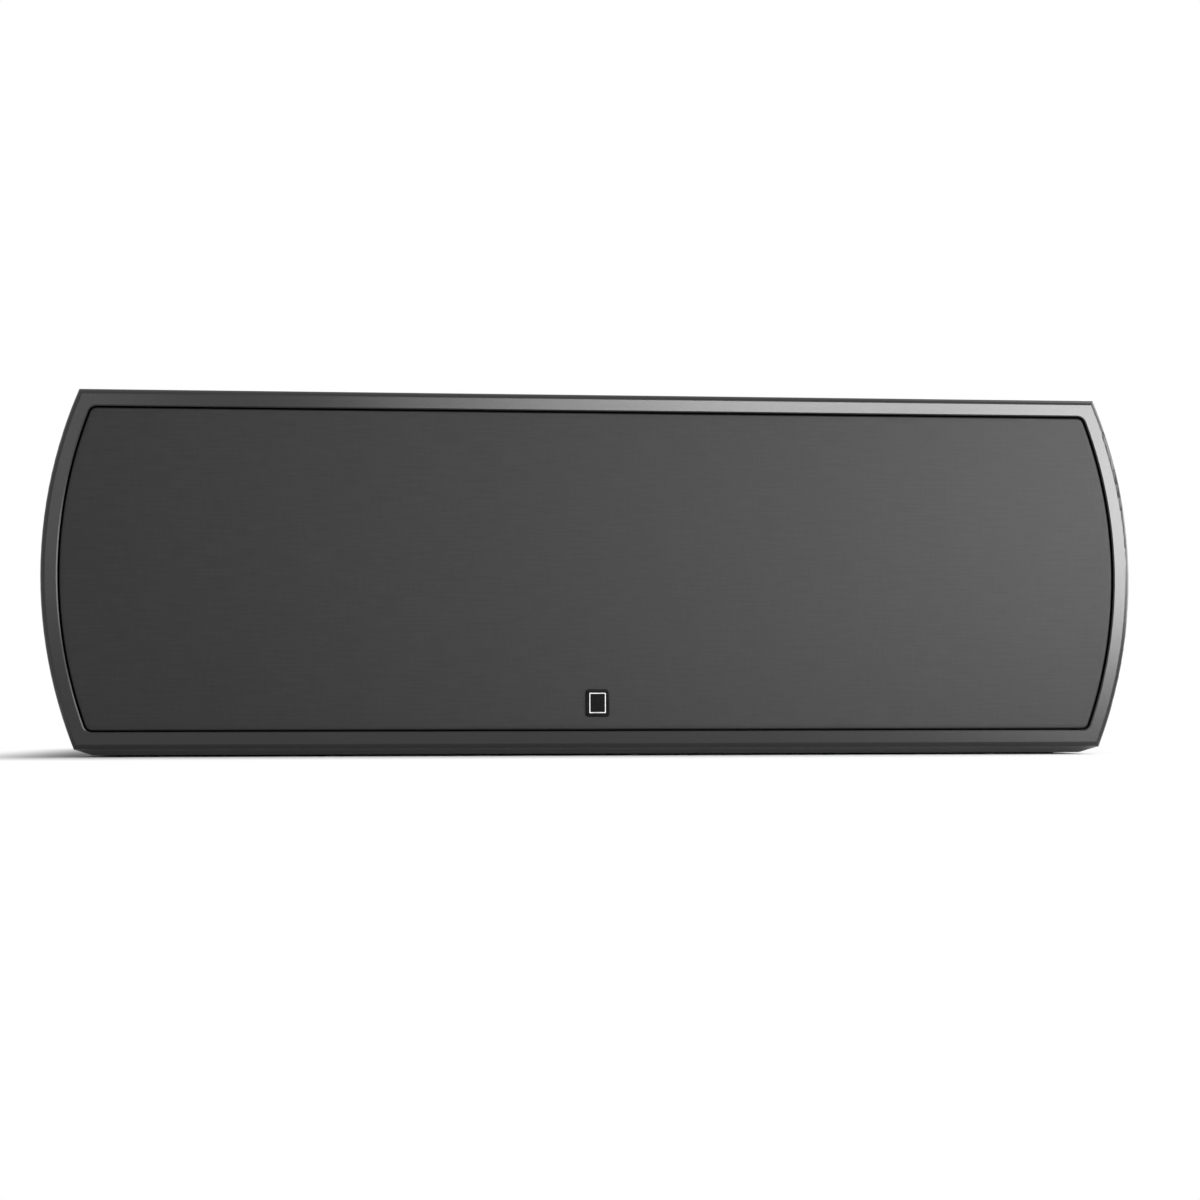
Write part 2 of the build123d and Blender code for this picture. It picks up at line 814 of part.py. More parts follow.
def binding_post(x):
    """Metal stud with a shoulder, a cross hole for bare wire and a socket for a banana plug."""
    seat = terminal_thickness + collar_height
    with BuildPart() as post:
        with BuildSketch(section_plane(x, rear_y)):
            with BuildLine():
                Polyline(
                    (0, -post_inside),
                    (post_radius, -post_inside),
                    (post_radius, seat),
                    (post_shoulder_radius, seat),
                    (post_shoulder_radius, seat + post_shoulder),
                    (post_radius, seat + post_shoulder),
                    (post_radius, post_reach),
                    (post_bore, post_reach),
                    (post_bore, post_reach - post_bore_depth),
                    (0, post_reach - post_bore_depth),
                    close=True,
                )
            make_face()
        revolve(axis=long_axis(x))
        hole_y = rear_y + (seat + post_shoulder + post_reach - post_bore_depth) / 2
        with BuildSketch(Plane(origin=(x, hole_y, mid_z - post_radius), z_dir=(0, 0, 1))):
            Circle(wire_hole_radius)
        extrude(amount=2 * post_radius, mode=Mode.SUBTRACT)
    return post


def post_knob(x):
    """Fluted thumb nut with a plain base, open at its end for a plug."""
    with BuildPart() as knob:
        with BuildSketch(rear_plane(x, knob_start)):
            Circle(knob_radius)
        extrude(amount=knob_length)
        with BuildSketch(rear_plane(x, knob_start + knob_base)):
            with PolarLocations(knob_radius, knob_flutes):
                Circle(flute_radius)
        extrude(amount=knob_length - knob_base, mode=Mode.SUBTRACT)
        with BuildSketch(rear_plane(x, knob_start)):
            Circle(post_radius + thread_fit)
        extrude(amount=knob_length, mode=Mode.SUBTRACT)
    return knob


# Crossover: a board on four pillars, with two coils, three capacitors and two resistors.
board_plane = Plane(origin=(0, board_y, floor_z))
board_face = Plane(origin=(0, board_y, board_top))

with BuildPart() as board_pillars:
    with BuildSketch(board_plane):
        with GridLocations(board_width - 2 * pillar_inset, board_length - 2 * pillar_inset, 2, 2):
            Circle(pillar_radius)
    extrude(amount=pillar_height)

with BuildPart() as crossover_board:
    with BuildSketch(board_plane.offset(pillar_height)):
        Rectangle(board_width, board_length)
    extrude(amount=board_thickness)


def wound_coil(x, bore, radius, height):
    """Air-cored inductor standing on the board."""
    with BuildPart() as coil:
        with BuildSketch(board_face):
            with Locations((x, -coil_row)):
                Circle(radius)
                Circle(bore, mode=Mode.SUBTRACT)
        extrude(amount=height)
    return coil


with BuildPart() as capacitors:
    across = Plane(
        origin=(-capacitor_length / 2, board_y, board_top + capacitor_radius + rest_gap),
        x_dir=(0, 1, 0),
        z_dir=(1, 0, 0),
    )
    with BuildSketch(across.offset(-component_column)):
        with Locations((capacitor_rows[0], 0), (capacitor_rows[1], 0)):
            Circle(capacitor_radius)
    extrude(amount=capacitor_length)
    with BuildSketch(across.offset(component_column)):
        with Locations((capacitor_rows[1], 0)):
            Circle(capacitor_radius)
    extrude(amount=capacitor_length)

with BuildPart() as resistors:
    with BuildSketch(board_face):
        with Locations(*[(component_column, row) for row in resistor_rows]):
            Rectangle(capacitor_length, resistor_side)
    extrude(amount=resistor_side)


def woofer_lead(side):
    """Lead from the board through the brace's window to the back of the basket's shelf."""
    start_x = side * woofer_lead_side
    end_x = side * (woofer_x - shelf_outer)
    row_y = board_y + woofer_lead_row
    end_y = baffle_y + spider_depth + basket_web + lead_gap
    return lead(
        [
            (start_x, row_y, board_top + lead_gap),
            (start_x, row_y, mid_z),
            (end_x, row_y, mid_z),
            (end_x, end_y, mid_z),
        ]
    )


tweeter_lead_z = mid_z - tweeter_lead_drop
tweeter_lead = lead(
    [
        (0, board_y + tweeter_lead_row, board_top + lead_gap),
        (0, board_y + tweeter_lead_row, tweeter_lead_z),
        (0, baffle_y + tweeter_back + lead_gap, tweeter_lead_z),
    ]
)

input_leads = lead(
    *[
        [
            (x, board_y + input_lead_row, board_top + lead_gap),
            (x, board_y + input_lead_row, mid_z),
            (x, rear_y - post_inside - lead_gap, mid_z),
        ]
        for x in (-post_spacing / 2, post_spacing / 2)
    ]
)

# Wadding pads hung under the top board, behind the woofers.
with BuildPart() as damping_pads:
    pad_behind = (grille_recess + magnet_back + plate_thickness + rear_inside) / 2
    pad_width = 2 * (woofer_x - brace_x - brace_thickness / 2 - pad_side_gap)
    with BuildSketch(Plane(origin=(0, front_y + pad_behind, ceiling_z))):
        with Locations((-woofer_x, 0), (woofer_x, 0)):
            Rectangle(pad_width, pad_length)
    extrude(amount=-pad_thickness)

# Finished pieces
os.makedirs("parts", exist_ok=True)
save(top_panel, "top_panel")
save(bottom_panel, "bottom_panel")
save(end_board(Keep.BOTTOM), "left_end")
save(end_board(Keep.TOP), "right_end")
save(front_baffle, "front_baffle")
save(rear_panel, "rear_panel")
save(rubber_feet, "rubber_feet")
save(grille_cloth, "grille_cloth")
save(grille_frame, "grille_frame")
save(grille_badge, "grille_badge")
save(grille_sockets, "grille_sockets")
for side, sign in (("left", -1), ("right", 1)):
    x = sign * woofer_x
    save(brace(sign * brace_x), f"brace_{side}")
    save(woofer_basket(x), f"woofer_{side}_basket")
    save(woofer_surround(x), f"woofer_{side}_surround")
    save(woofer_cone(x), f"woofer_{side}_cone")
    save(woofer_dust_cap(x), f"woofer_{side}_dust_cap")
    save(woofer_spider(x), f"woofer_{side}_spider")
    save(woofer_voice_coil(x), f"woofer_{side}_voice_coil")
    save(ring(x, basket_depth, magnet_front, gap_radius, motor_radius), f"woofer_{side}_top_plate")
    save(ring(x, magnet_front, magnet_back, magnet_bore, magnet_radius), f"woofer_{side}_magnet")
    save(woofer_yoke(x), f"woofer_{side}_yoke")
    woofer_screws = ring_of_screws(x, woofer_screw_radius, woofer_screw_count, woofer_screw_start)
    save(woofer_screws, f"woofer_{side}_screws")
    save(port_tube(x), f"port_{side}")
    save(woofer_lead(sign), f"woofer_lead_{side}")
save(tweeter_faceplate, "tweeter_faceplate")
save(tweeter_dome, "tweeter_dome")
save(tweeter_voice_coil, "tweeter_voice_coil")
save(tweeter_top_ring, "tweeter_top_plate")
save(tweeter_magnet, "tweeter_magnet")
save(tweeter_yoke, "tweeter_yoke")
tweeter_screws = ring_of_screws(0, tweeter_screw_radius, tweeter_screw_count, tweeter_screw_start)
save(tweeter_screws, "tweeter_screws")
save(terminal_plate, "terminal_plate")
save(terminal_screws, "terminal_screws")
save(post_nuts, "post_nuts")
for colour, x in (("red", -post_spacing / 2), ("black", post_spacing / 2)):
    save(binding_post(x), f"post_{colour}")
    save(post_knob(x), f"knob_{colour}")
save(board_pillars, "board_pillars")
save(crossover_board, "crossover_board")
save(wound_coil(-component_column, big_coil_bore, big_coil_radius, big_coil_height), "woofer_inductor")
save(wound_coil(component_column, small_coil_bore, small_coil_radius, small_coil_height), "tweeter_inductor")
save(capacitors, "capacitors")
save(resistors, "resistors")
save(tweeter_lead, "tweeter_lead")
save(input_leads, "input_leads")
save(damping_pads, "damping_pads")
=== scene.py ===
from math import cos, pi, radians, sin, sqrt

import bmesh
import bpy
from mathutils import Matrix, Vector
from mathutils import noise as fabric_noise


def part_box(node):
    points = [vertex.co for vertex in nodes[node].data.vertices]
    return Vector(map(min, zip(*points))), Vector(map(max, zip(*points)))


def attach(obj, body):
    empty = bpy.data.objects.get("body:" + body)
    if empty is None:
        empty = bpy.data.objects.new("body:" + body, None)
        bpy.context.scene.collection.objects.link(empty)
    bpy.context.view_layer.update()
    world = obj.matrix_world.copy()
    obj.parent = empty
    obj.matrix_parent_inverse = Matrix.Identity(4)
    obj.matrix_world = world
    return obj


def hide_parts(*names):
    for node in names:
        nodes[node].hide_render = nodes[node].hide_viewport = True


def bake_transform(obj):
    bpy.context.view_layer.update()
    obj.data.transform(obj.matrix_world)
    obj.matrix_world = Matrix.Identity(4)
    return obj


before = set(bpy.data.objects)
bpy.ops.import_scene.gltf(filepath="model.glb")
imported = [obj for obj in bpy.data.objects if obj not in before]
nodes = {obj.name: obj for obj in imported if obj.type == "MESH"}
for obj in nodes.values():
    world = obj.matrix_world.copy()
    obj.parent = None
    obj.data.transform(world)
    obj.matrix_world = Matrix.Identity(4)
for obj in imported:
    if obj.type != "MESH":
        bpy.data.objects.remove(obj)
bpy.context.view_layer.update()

# Sizes of the speaker, in metres
mm = 0.001
half_width = 305.0 * mm
half_height = 99.0 * mm
end_bow = 19.5 * mm
bow_radius = (half_height**2 + end_bow**2) / (2 * end_bow)
front_y = -141.5 * mm
rear_y = 113.5 * mm
baffle_y = -127.5 * mm
mid_z = 103.2 * mm
woofer_x = 185.0 * mm
post_x = 9.525 * mm
grille_back_y = -128.5 * mm
cloth_inset = 10.3 * mm
cloth_edge = 0.9 * mm
cloth_setback = 1.2 * mm
cloth_thickness = 0.7 * mm
cloth_turn_in = 5.4 * mm
staple_inset = 14.6 * mm


# Node tools

def put(tree, kind, **settings):
    """Add a node and set its options."""
    node = tree.nodes.new(kind)
    for key, value in settings.items():
        setattr(node, key, value)
    return node


def feed(tree, socket, value):
    """Link a socket to another one, or give it a plain value."""
    if isinstance(value, bpy.types.NodeSocket):
        tree.links.new(value, socket)
    else:
        socket.default_value = value


def calc(tree, operation, *values):
    """One step of arithmetic."""
    node = put(tree, "ShaderNodeMath", operation=operation)
    for socket, value in zip(node.inputs, values):
        feed(tree, socket, value)
    return node.outputs[0]


def between(tree, factor, low, high):
    """A value or a colour between two others."""
    colour = isinstance(low, tuple) or getattr(low, "type", "") == "RGBA"
    node = put(tree, "ShaderNodeMix", data_type="RGBA" if colour else "FLOAT")
    first = 6 if colour else 2
    feed(tree, node.inputs[0], factor)
    feed(tree, node.inputs[first], low)
    feed(tree, node.inputs[first + 1], high)
    return node.outputs[2 if colour else 0]


def ramp(tree, value, low, high, start=0.0, end=1.0):
    """A smooth step of a value from one level to another."""
    node = put(tree, "ShaderNodeMapRange", interpolation_type="SMOOTHSTEP")
    for socket, number in zip(node.inputs, (value, low, high, start, end)):
        feed(tree, socket, number)
    return node.outputs[0]


def noise(tree, place, scale, detail=3.0, rough=0.55):
    """Cloudy variation, from 0 to 1."""
    node = put(tree, "ShaderNodeTexNoise")
    feed(tree, node.inputs["Vector"], place)
    feed(tree, node.inputs["Scale"], scale)
    feed(tree, node.inputs["Detail"], detail)
    feed(tree, node.inputs["Roughness"], rough)
    return node.outputs["Fac"]


def group(name, inputs, outputs):
    """A shader group with named sockets."""
    made = bpy.data.node_groups.new(name, "ShaderNodeTree")
    kinds = {float: "NodeSocketFloat", tuple: "NodeSocketColor", Vector: "NodeSocketVector"}
    for label, value in inputs:
        socket = made.interface.new_socket(label, in_out="INPUT", socket_type=kinds[type(value)])
        socket.default_value = value
    for label, kind in outputs:
        made.interface.new_socket(label, in_out="OUTPUT", socket_type=kinds[kind])
    return made, put(made, "NodeGroupInput").outputs, put(made, "NodeGroupOutput").inputs


def surface_grain():
    """Colour, roughness and height that vary with a fine grain and with broad clouds."""
    inputs = [
        ("Dark", (0.0, 0.0, 0.0, 1.0)),
        ("Pale", (1.0, 1.0, 1.0, 1.0)),
        ("Smooth", 0.3),
        ("Rough", 0.5),
        ("Grain per metre", 800.0),
        ("Clouds per metre", 18.0),
    ]
    outputs = [("Colour", tuple), ("Roughness", float), ("Height", float)]
    tree, given, out = group("surface_grain", inputs, outputs)
    place = put(tree, "ShaderNodeTexCoord").outputs["Object"]
    fine = noise(tree, place, given["Grain per metre"], 2.0)
    broad = noise(tree, place, given["Clouds per metre"], 4.0)
    fine_part = calc(tree, "MULTIPLY", fine, 0.45)
    broad_part = calc(tree, "MULTIPLY", broad, 0.55)
    share = ramp(tree, calc(tree, "ADD", fine_part, broad_part), 0.3, 0.7)
    feed(tree, out["Colour"], between(tree, share, given["Dark"], given["Pale"]))
    feed(tree, out["Roughness"], between(tree, broad, given["Smooth"], given["Rough"]))
    feed(tree, out["Height"], fine)
    return tree


def edge_rub():
    """Mask of the outer edges, broken up as by handling."""
    tree, given, out = group("edge_rub", [("Width", 0.0012), ("Amount", 0.5)], [("Mask", float)])
    bevel = put(tree, "ShaderNodeBevel", samples=6)
    feed(tree, bevel.inputs["Radius"], given["Width"])
    facing = put(tree, "ShaderNodeVectorMath", operation="DOT_PRODUCT")
    feed(tree, facing.inputs[0], bevel.outputs["Normal"])
    feed(tree, facing.inputs[1], put(tree, "ShaderNodeNewGeometry").outputs["Normal"])
    edge = ramp(tree, facing.outputs["Value"], 0.985, 0.86)
    place = put(tree, "ShaderNodeTexCoord").outputs["Object"]
    broken = ramp(tree, noise(tree, place, 240.0, 4.0), 0.42, 0.62)
    worn = calc(tree, "MULTIPLY", edge, broken)
    feed(tree, out["Mask"], calc(tree, "MULTIPLY", worn, given["Amount"]))
    return tree


def dust_film():
    """Masks of fine dust on faces that look up, broken up and even."""
    outputs = [("Mask", float), ("Even film", float)]
    tree, given, out = group("dust_film", [("Amount", 0.2)], outputs)
    split = put(tree, "ShaderNodeSeparateXYZ")
    feed(tree, split.inputs[0], put(tree, "ShaderNodeNewGeometry").outputs["Normal"])
    up = ramp(tree, split.outputs["Z"], 0.35, 1.0)
    place = put(tree, "ShaderNodeTexCoord").outputs["Object"]
    drift = ramp(tree, noise(tree, place, 55.0, 8.0, 0.75), 0.2, 0.9)
    specks = ramp(tree, noise(tree, place, 1900.0, 1.0), 0.66, 0.78)
    film = calc(tree, "MAXIMUM", calc(tree, "MULTIPLY", drift, 0.6), specks)
    lying = calc(tree, "MULTIPLY", up, film)
    feed(tree, out["Mask"], calc(tree, "MULTIPLY", lying, given["Amount"]))
    feed(tree, out["Even film"], up)
    return tree


def plain_weave():
    """Threads that pass over and under each other, laid out on the cloth's own flat pattern."""
    inputs = [("Flat place", Vector((0.0, 0.0, 0.0))), ("Threads per metre", 1000.0)]
    outputs = [("Height", float), ("Thread", float), ("Slub", float)]
    tree, given, out = group("plain_weave", inputs, outputs)
    split = put(tree, "ShaderNodeSeparateXYZ")
    feed(tree, split.inputs[0], given["Flat place"])
    across = calc(tree, "MULTIPLY", split.outputs["X"], given["Threads per metre"])
    along = calc(tree, "MULTIPLY", split.outputs["Y"], given["Threads per metre"])

    def wave(value):
        """One wave for every two threads."""
        return calc(tree, "COSINE", calc(tree, "MULTIPLY", value, pi))

    def thread(side, run, sense):
        """Height of the threads of one direction."""
        body = calc(tree, "POWER", calc(tree, "ABSOLUTE", wave(side)), 0.7)
        over = calc(tree, "MULTIPLY", wave(calc(tree, "ROUND", side)), wave(run))
        lift = calc(tree, "MULTIPLY_ADD", over, 0.5 * sense, 0.5)
        return calc(tree, "MULTIPLY", body, lift)

    warp = thread(across, along, 1.0)
    weft = thread(along, across, -1.0)
    feed(tree, out["Height"], calc(tree, "MAXIMUM", warp, weft))
    feed(tree, out["Thread"], ramp(tree, calc(tree, "SUBTRACT", warp, weft), -0.4, 0.4))

    def slub(x_scale, y_scale):
        """Streaks of thick and thin yarn."""
        joined = put(tree, "ShaderNodeCombineXYZ")
        feed(tree, joined.inputs["X"], calc(tree, "MULTIPLY", split.outputs["X"], x_scale))
        feed(tree, joined.inputs["Y"], calc(tree, "MULTIPLY", split.outputs["Y"], y_scale))
        return noise(tree, joined.outputs[0], 1.0, 3.0, 0.6)

    uneven = calc(tree, "ADD", slub(55.0, 900.0), calc(tree, "MULTIPLY", slub(900.0, 70.0), 0.5))
    feed(tree, out["Slub"], ramp(tree, uneven, 0.45, 1.05))
    return tree


def wound_wire():
    """Turns of wire laid side by side along an axis, with painted shade between the turns."""
    inputs = [("Turns per metre", 1200.0), ("Along Y", 0.0), ("Along Z", 0.0)]
    tree, given, out = group("wound_wire", inputs, [("Height", float), ("Shade", float)])
    split = put(tree, "ShaderNodeSeparateXYZ")
    feed(tree, split.inputs[0], put(tree, "ShaderNodeTexCoord").outputs["Object"])
    run = calc(tree, "MULTIPLY", split.outputs["Y"], given["Along Y"])
    run = calc(tree, "MULTIPLY_ADD", split.outputs["Z"], given["Along Z"], run)
    turns = calc(tree, "MULTIPLY", run, given["Turns per metre"])
    height = calc(tree, "ABSOLUTE", calc(tree, "SINE", calc(tree, "MULTIPLY", turns, pi)))
    feed(tree, out["Height"], height)
    # Shade is painted shade: a darker colour in the grooves between turns, where shadow falls.
    feed(tree, out["Shade"], ramp(tree, height, 0.1, 0.7))
    return tree


grain_group = surface_grain()
rub_group = edge_rub()
dust_group = dust_film()
weave_group = plain_weave()
wire_group = wound_wire()


def place_group(tree, made, **values):
    """Put a shader group in a material with its own values."""
    node = put(tree, "ShaderNodeGroup", node_tree=made)
    for label, value in values.items():
        feed(tree, node.inputs[label.replace("_", " ")], value)
    return node.outputs


def grey(value, warm=0.0):
    """A near-neutral colour."""
    return (value * (1 + warm), value, value * (1 - warm), 1.0)


class Finish:
    """A material made of the surface grain, with wear, dust, weave or wire added on top."""

    thin_yarn = 0.3
    dust_rough = 0.8

    def __init__(self, name, dark, pale, smooth, rough, grain=800.0, clouds=18.0, **shader):
        self.material = bpy.data.materials.new(name)
        self.material.use_nodes = True
        self.tree = self.material.node_tree
        self.shader = self.tree.nodes["Principled BSDF"]
        made = place_group(
            self.tree, grain_group, Dark=dark, Pale=pale, Smooth=smooth, Rough=rough,
            Grain_per_metre=grain, Clouds_per_metre=clouds,
        )
        self.colour = made["Colour"]
        self.roughness = made["Roughness"]
        self.height = made["Height"]
        self.bumps = []
        for label, value in shader.items():
            self.shader.inputs[label.replace("_", " ")].default_value = value

    def tint(self, mask, colour, rough=None):
        """Another colour, and roughness, where a mask is strong."""
        self.colour = between(self.tree, mask, self.colour, colour)
        if rough is not None:
            self.roughness = between(self.tree, mask, self.roughness, rough)
        return self

    def rubbed(self, colour, width=0.0012, amount=0.5, rough=None):
        """Another colour where edges are worn."""
        mask = place_group(self.tree, rub_group, Width=width, Amount=amount)["Mask"]
        return self.tint(mask, colour, rough)

    def dusty(self, amount, colour=(0.28, 0.27, 0.25, 1.0), dulled=None):
        """Dust on top, and where it dulls a gloss, the roughness that the film leaves."""
        made = place_group(self.tree, dust_group, Amount=amount)
        if dulled is not None:
            self.roughness = between(self.tree, made["Even film"], self.roughness, dulled)
        return self.tint(made["Mask"], colour, self.dust_rough)

    def woven(self, threads, depth, other, thin=(0.0, 0.0, 0.0, 1.0), cut_flat=False):
        """Cloth: the threads' relief, a second shade on those that run across, and uneven yarn."""
        if cut_flat:
            flat = put(self.tree, "ShaderNodeUVMap").outputs["UV"]
        else:
            split = put(self.tree, "ShaderNodeSeparateXYZ")
            feed(self.tree, split.inputs[0], put(self.tree, "ShaderNodeTexCoord").outputs["Object"])
            joined = put(self.tree, "ShaderNodeCombineXYZ")
            feed(self.tree, joined.inputs["X"], split.outputs["X"])
            feed(self.tree, joined.inputs["Y"], split.outputs["Z"])
            flat = joined.outputs[0]
        made = place_group(self.tree, weave_group, Flat_place=flat, Threads_per_metre=threads)
        self.bumps.append((made["Height"], depth))
        self.tint(made["Thread"], other)
        thinned = between(self.tree, self.thin_yarn, self.colour, thin)
        self.colour = between(self.tree, made["Slub"], thinned, self.colour)
        return self

    def wound(self, turns, depth, shadow, **axis):
        """Wire: the relief of its turns, with painted shade that darkens the colour between them.
        """
        made = place_group(self.tree, wire_group, Turns_per_metre=turns, **axis)
        self.bumps.append((made["Height"], depth))
        # The shadow colour is painted shade, laid in the grooves between the turns.
        self.colour = between(self.tree, made["Shade"], shadow, self.colour)
        return self

    def rough_skin(self, depth):
        """Relief of the grain itself."""
        self.bumps.append((self.height, depth))
        return self

    def done(self):
        """Join everything to the shader."""
        normal = None
        for height, depth in self.bumps:
            bump = put(self.tree, "ShaderNodeBump")
            bump.inputs["Distance"].default_value = depth
            feed(self.tree, bump.inputs["Height"], height)
            if normal is not None:
                feed(self.tree, bump.inputs["Normal"], normal)
            normal = bump.outputs["Normal"]
        feed(self.tree, self.shader.inputs["Base Color"], self.colour)
        feed(self.tree, self.shader.inputs["Roughness"], self.roughness)
        if normal is not None:
            feed(self.tree, self.shader.inputs["Normal"], normal)
        return self.material


# Finishes
satin_paint = (
    Finish(
        "satin_black_paint", grey(0.007), grey(0.010), 0.17, 0.21, 1500.0, 9.0,
        Specular_IOR_Level=0.45,
    )
    .rough_skin(0.000006)
    .dusty(0.05, dulled=0.6)
    .done()
)
matte_paint = (
    Finish("matte_black_paint", grey(0.010), grey(0.017), 0.55, 0.72, 900.0)
    .rough_skin(0.00006)
    .done()
)
bare_board = (
    Finish(
        "bare_fibre_board", (0.30, 0.20, 0.12, 1), (0.46, 0.33, 0.21, 1), 0.7, 0.9, 420.0, 60.0,
    )
    .rough_skin(0.00008)
    .done()
)
grille_fabric = (
    Finish(
        "grille_fabric", grey(0.014), grey(0.018), 0.30, 0.36, 700.0, 14.0,
        Specular_IOR_Level=0.22,
    )
    .woven(2200.0, 0.00004, grey(0.021), cut_flat=True)
    .done()
)
badge_black = (
    Finish("badge_gloss", grey(0.003), grey(0.005), 0.16, 0.24, 500.0, Specular_IOR_Level=0.1)
    .rubbed(grey(0.06), 0.0005, 0.3)
    .done()
)
badge_line = (
    Finish("badge_border", grey(0.50), grey(0.62), 0.25, 0.4, 3000.0, 200.0, Metallic=1.0)
    .rough_skin(0.00002)
    .done()
)
foot_rubber = (
    Finish("foot_rubber", grey(0.012), grey(0.022), 0.6, 0.78, 650.0)
    .rough_skin(0.0001)
    .rubbed(grey(0.05), 0.0012, 0.5)
    .done()
)
roll_rubber = (
    Finish("surround_rubber", grey(0.010), grey(0.016), 0.42, 0.55, 1200.0)
    .rough_skin(0.00003)
    .dusty(0.25)
    .done()
)
basket_coat = (
    Finish("basket_powder_coat", grey(0.014), grey(0.024), 0.42, 0.58, 1400.0)
    .rough_skin(0.00008)
    .rubbed(grey(0.10), 0.0008, 0.35)
    .done()
)
cone_fibre = (
    Finish("cone_fibre", grey(0.016), grey(0.036), 0.45, 0.62, 420.0, 90.0)
    .rough_skin(0.00012)
    .dusty(0.15)
    .done()
)
spider_cloth = (
    Finish("spider_cloth", (0.40, 0.22, 0.06, 1), (0.52, 0.31, 0.10, 1), 0.7, 0.85, 600.0)
    .woven(900.0, 0.00015, (0.33, 0.18, 0.05, 1))
    .done()
)
coil_copper = (
    Finish(
        "coil_copper", (0.62, 0.26, 0.12, 1), (0.76, 0.36, 0.18, 1), 0.25, 0.4, 900.0,
        Metallic=1.0,
    )
    # The dark colour is painted shade in the grooves between the coil's turns.
    .wound(2600.0, 0.00015, (0.20, 0.07, 0.03, 1), Along_Y=1.0)
    .done()
)
choke_copper = (
    Finish(
        "inductor_copper", (0.58, 0.24, 0.11, 1), (0.74, 0.34, 0.17, 1), 0.25, 0.4, 500.0,
        Metallic=1.0,
    )
    # The dark colour is painted shade in the grooves between the choke's turns.
    .wound(900.0, 0.0004, (0.18, 0.06, 0.03, 1), Along_Z=1.0)
    .done()
)
zinc_steel = (
    Finish(
        "zinc_plated_steel", grey(0.46, -0.02), grey(0.60, -0.02), 0.28, 0.46, 700.0, 40.0,
        Metallic=1.0,
    )
    .rough_skin(0.00003)
    .done()
)
ferrite = (
    Finish("ferrite_magnet", grey(0.035), grey(0.065), 0.5, 0.75, 500.0, 60.0)
    .rough_skin(0.0001)
    .rubbed(grey(0.12), 0.0015, 0.5)
    .done()
)
black_zinc = (
    Finish("black_zinc_screw", grey(0.020), grey(0.034), 0.3, 0.45, 1500.0, 120.0, Metallic=0.8)
    .rubbed(grey(0.30), 0.0004, 0.5, 0.3)
    .done()
)
moulding = (
    Finish("moulded_black_plastic", grey(0.012), grey(0.019), 0.4, 0.52, 1300.0, 25.0)
    .rough_skin(0.00006)
    .rubbed(grey(0.06), 0.0008, 0.35)
    .dusty(0.3)
    .done()
)
silk = (
    Finish("silk_dome", grey(0.010), grey(0.016), 0.5, 0.64, 900.0)
    .woven(1800.0, 0.00005, grey(0.020))
    .done()
)
gilt = (
    Finish(
        "gilt_brass", (0.72, 0.48, 0.16, 1), (0.88, 0.64, 0.27, 1), 0.14, 0.3, 900.0, 80.0,
        Metallic=1.0,
    )
    .rubbed((0.95, 0.80, 0.45, 1), 0.0005, 0.4, 0.12)
    .done()
)
red_knob = (
    Finish("red_knob_plastic", (0.40, 0.008, 0.010, 1), (0.52, 0.016, 0.016, 1), 0.22, 0.36, 900.0)
    .rubbed((0.62, 0.10, 0.09, 1), 0.0004, 0.5)
    .done()
)
black_knob = (
    Finish("black_knob_plastic", grey(0.009), grey(0.014), 0.22, 0.36, 900.0)
    .rubbed(grey(0.07), 0.0004, 0.5)
    .done()
)
nylon = (
    Finish("white_nylon", grey(0.62, 0.02), grey(0.72, 0.02), 0.4, 0.55, 800.0)
    .rough_skin(0.00004)
    .done()
)
circuit = (
    Finish(
        "circuit_board", (0.012, 0.10, 0.035, 1), (0.024, 0.16, 0.060, 1), 0.32, 0.48, 300.0, 110.0,
    )
    .rough_skin(0.00005)
    .done()
)
film_wrap = (
    Finish("capacitor_wrap", (0.46, 0.29, 0.035, 1), (0.58, 0.38, 0.06, 1), 0.2, 0.34, 400.0, 70.0)
    .rough_skin(0.00004)
    .done()
)
white_clay = (
    Finish("resistor_clay", grey(0.60, 0.03), grey(0.74, 0.03), 0.6, 0.8, 900.0, 140.0)
    .rough_skin(0.0001)
    .done()
)
lead_jacket = (
    Finish("lead_jacket", grey(0.009), grey(0.014), 0.32, 0.46, 700.0)
    .rough_skin(0.00003)
    .done()
)
wadding = (
    Finish("wadding", grey(0.48, 0.05), grey(0.66, 0.04), 0.85, 1.0, 260.0, 70.0)
    .rough_skin(0.0012)
    .done()
)
mark_paint = (
    Finish("mark_paint", grey(0.52), grey(0.66), 0.45, 0.6, 1500.0, 300.0)
    .rough_skin(0.00004)
    .done()
)

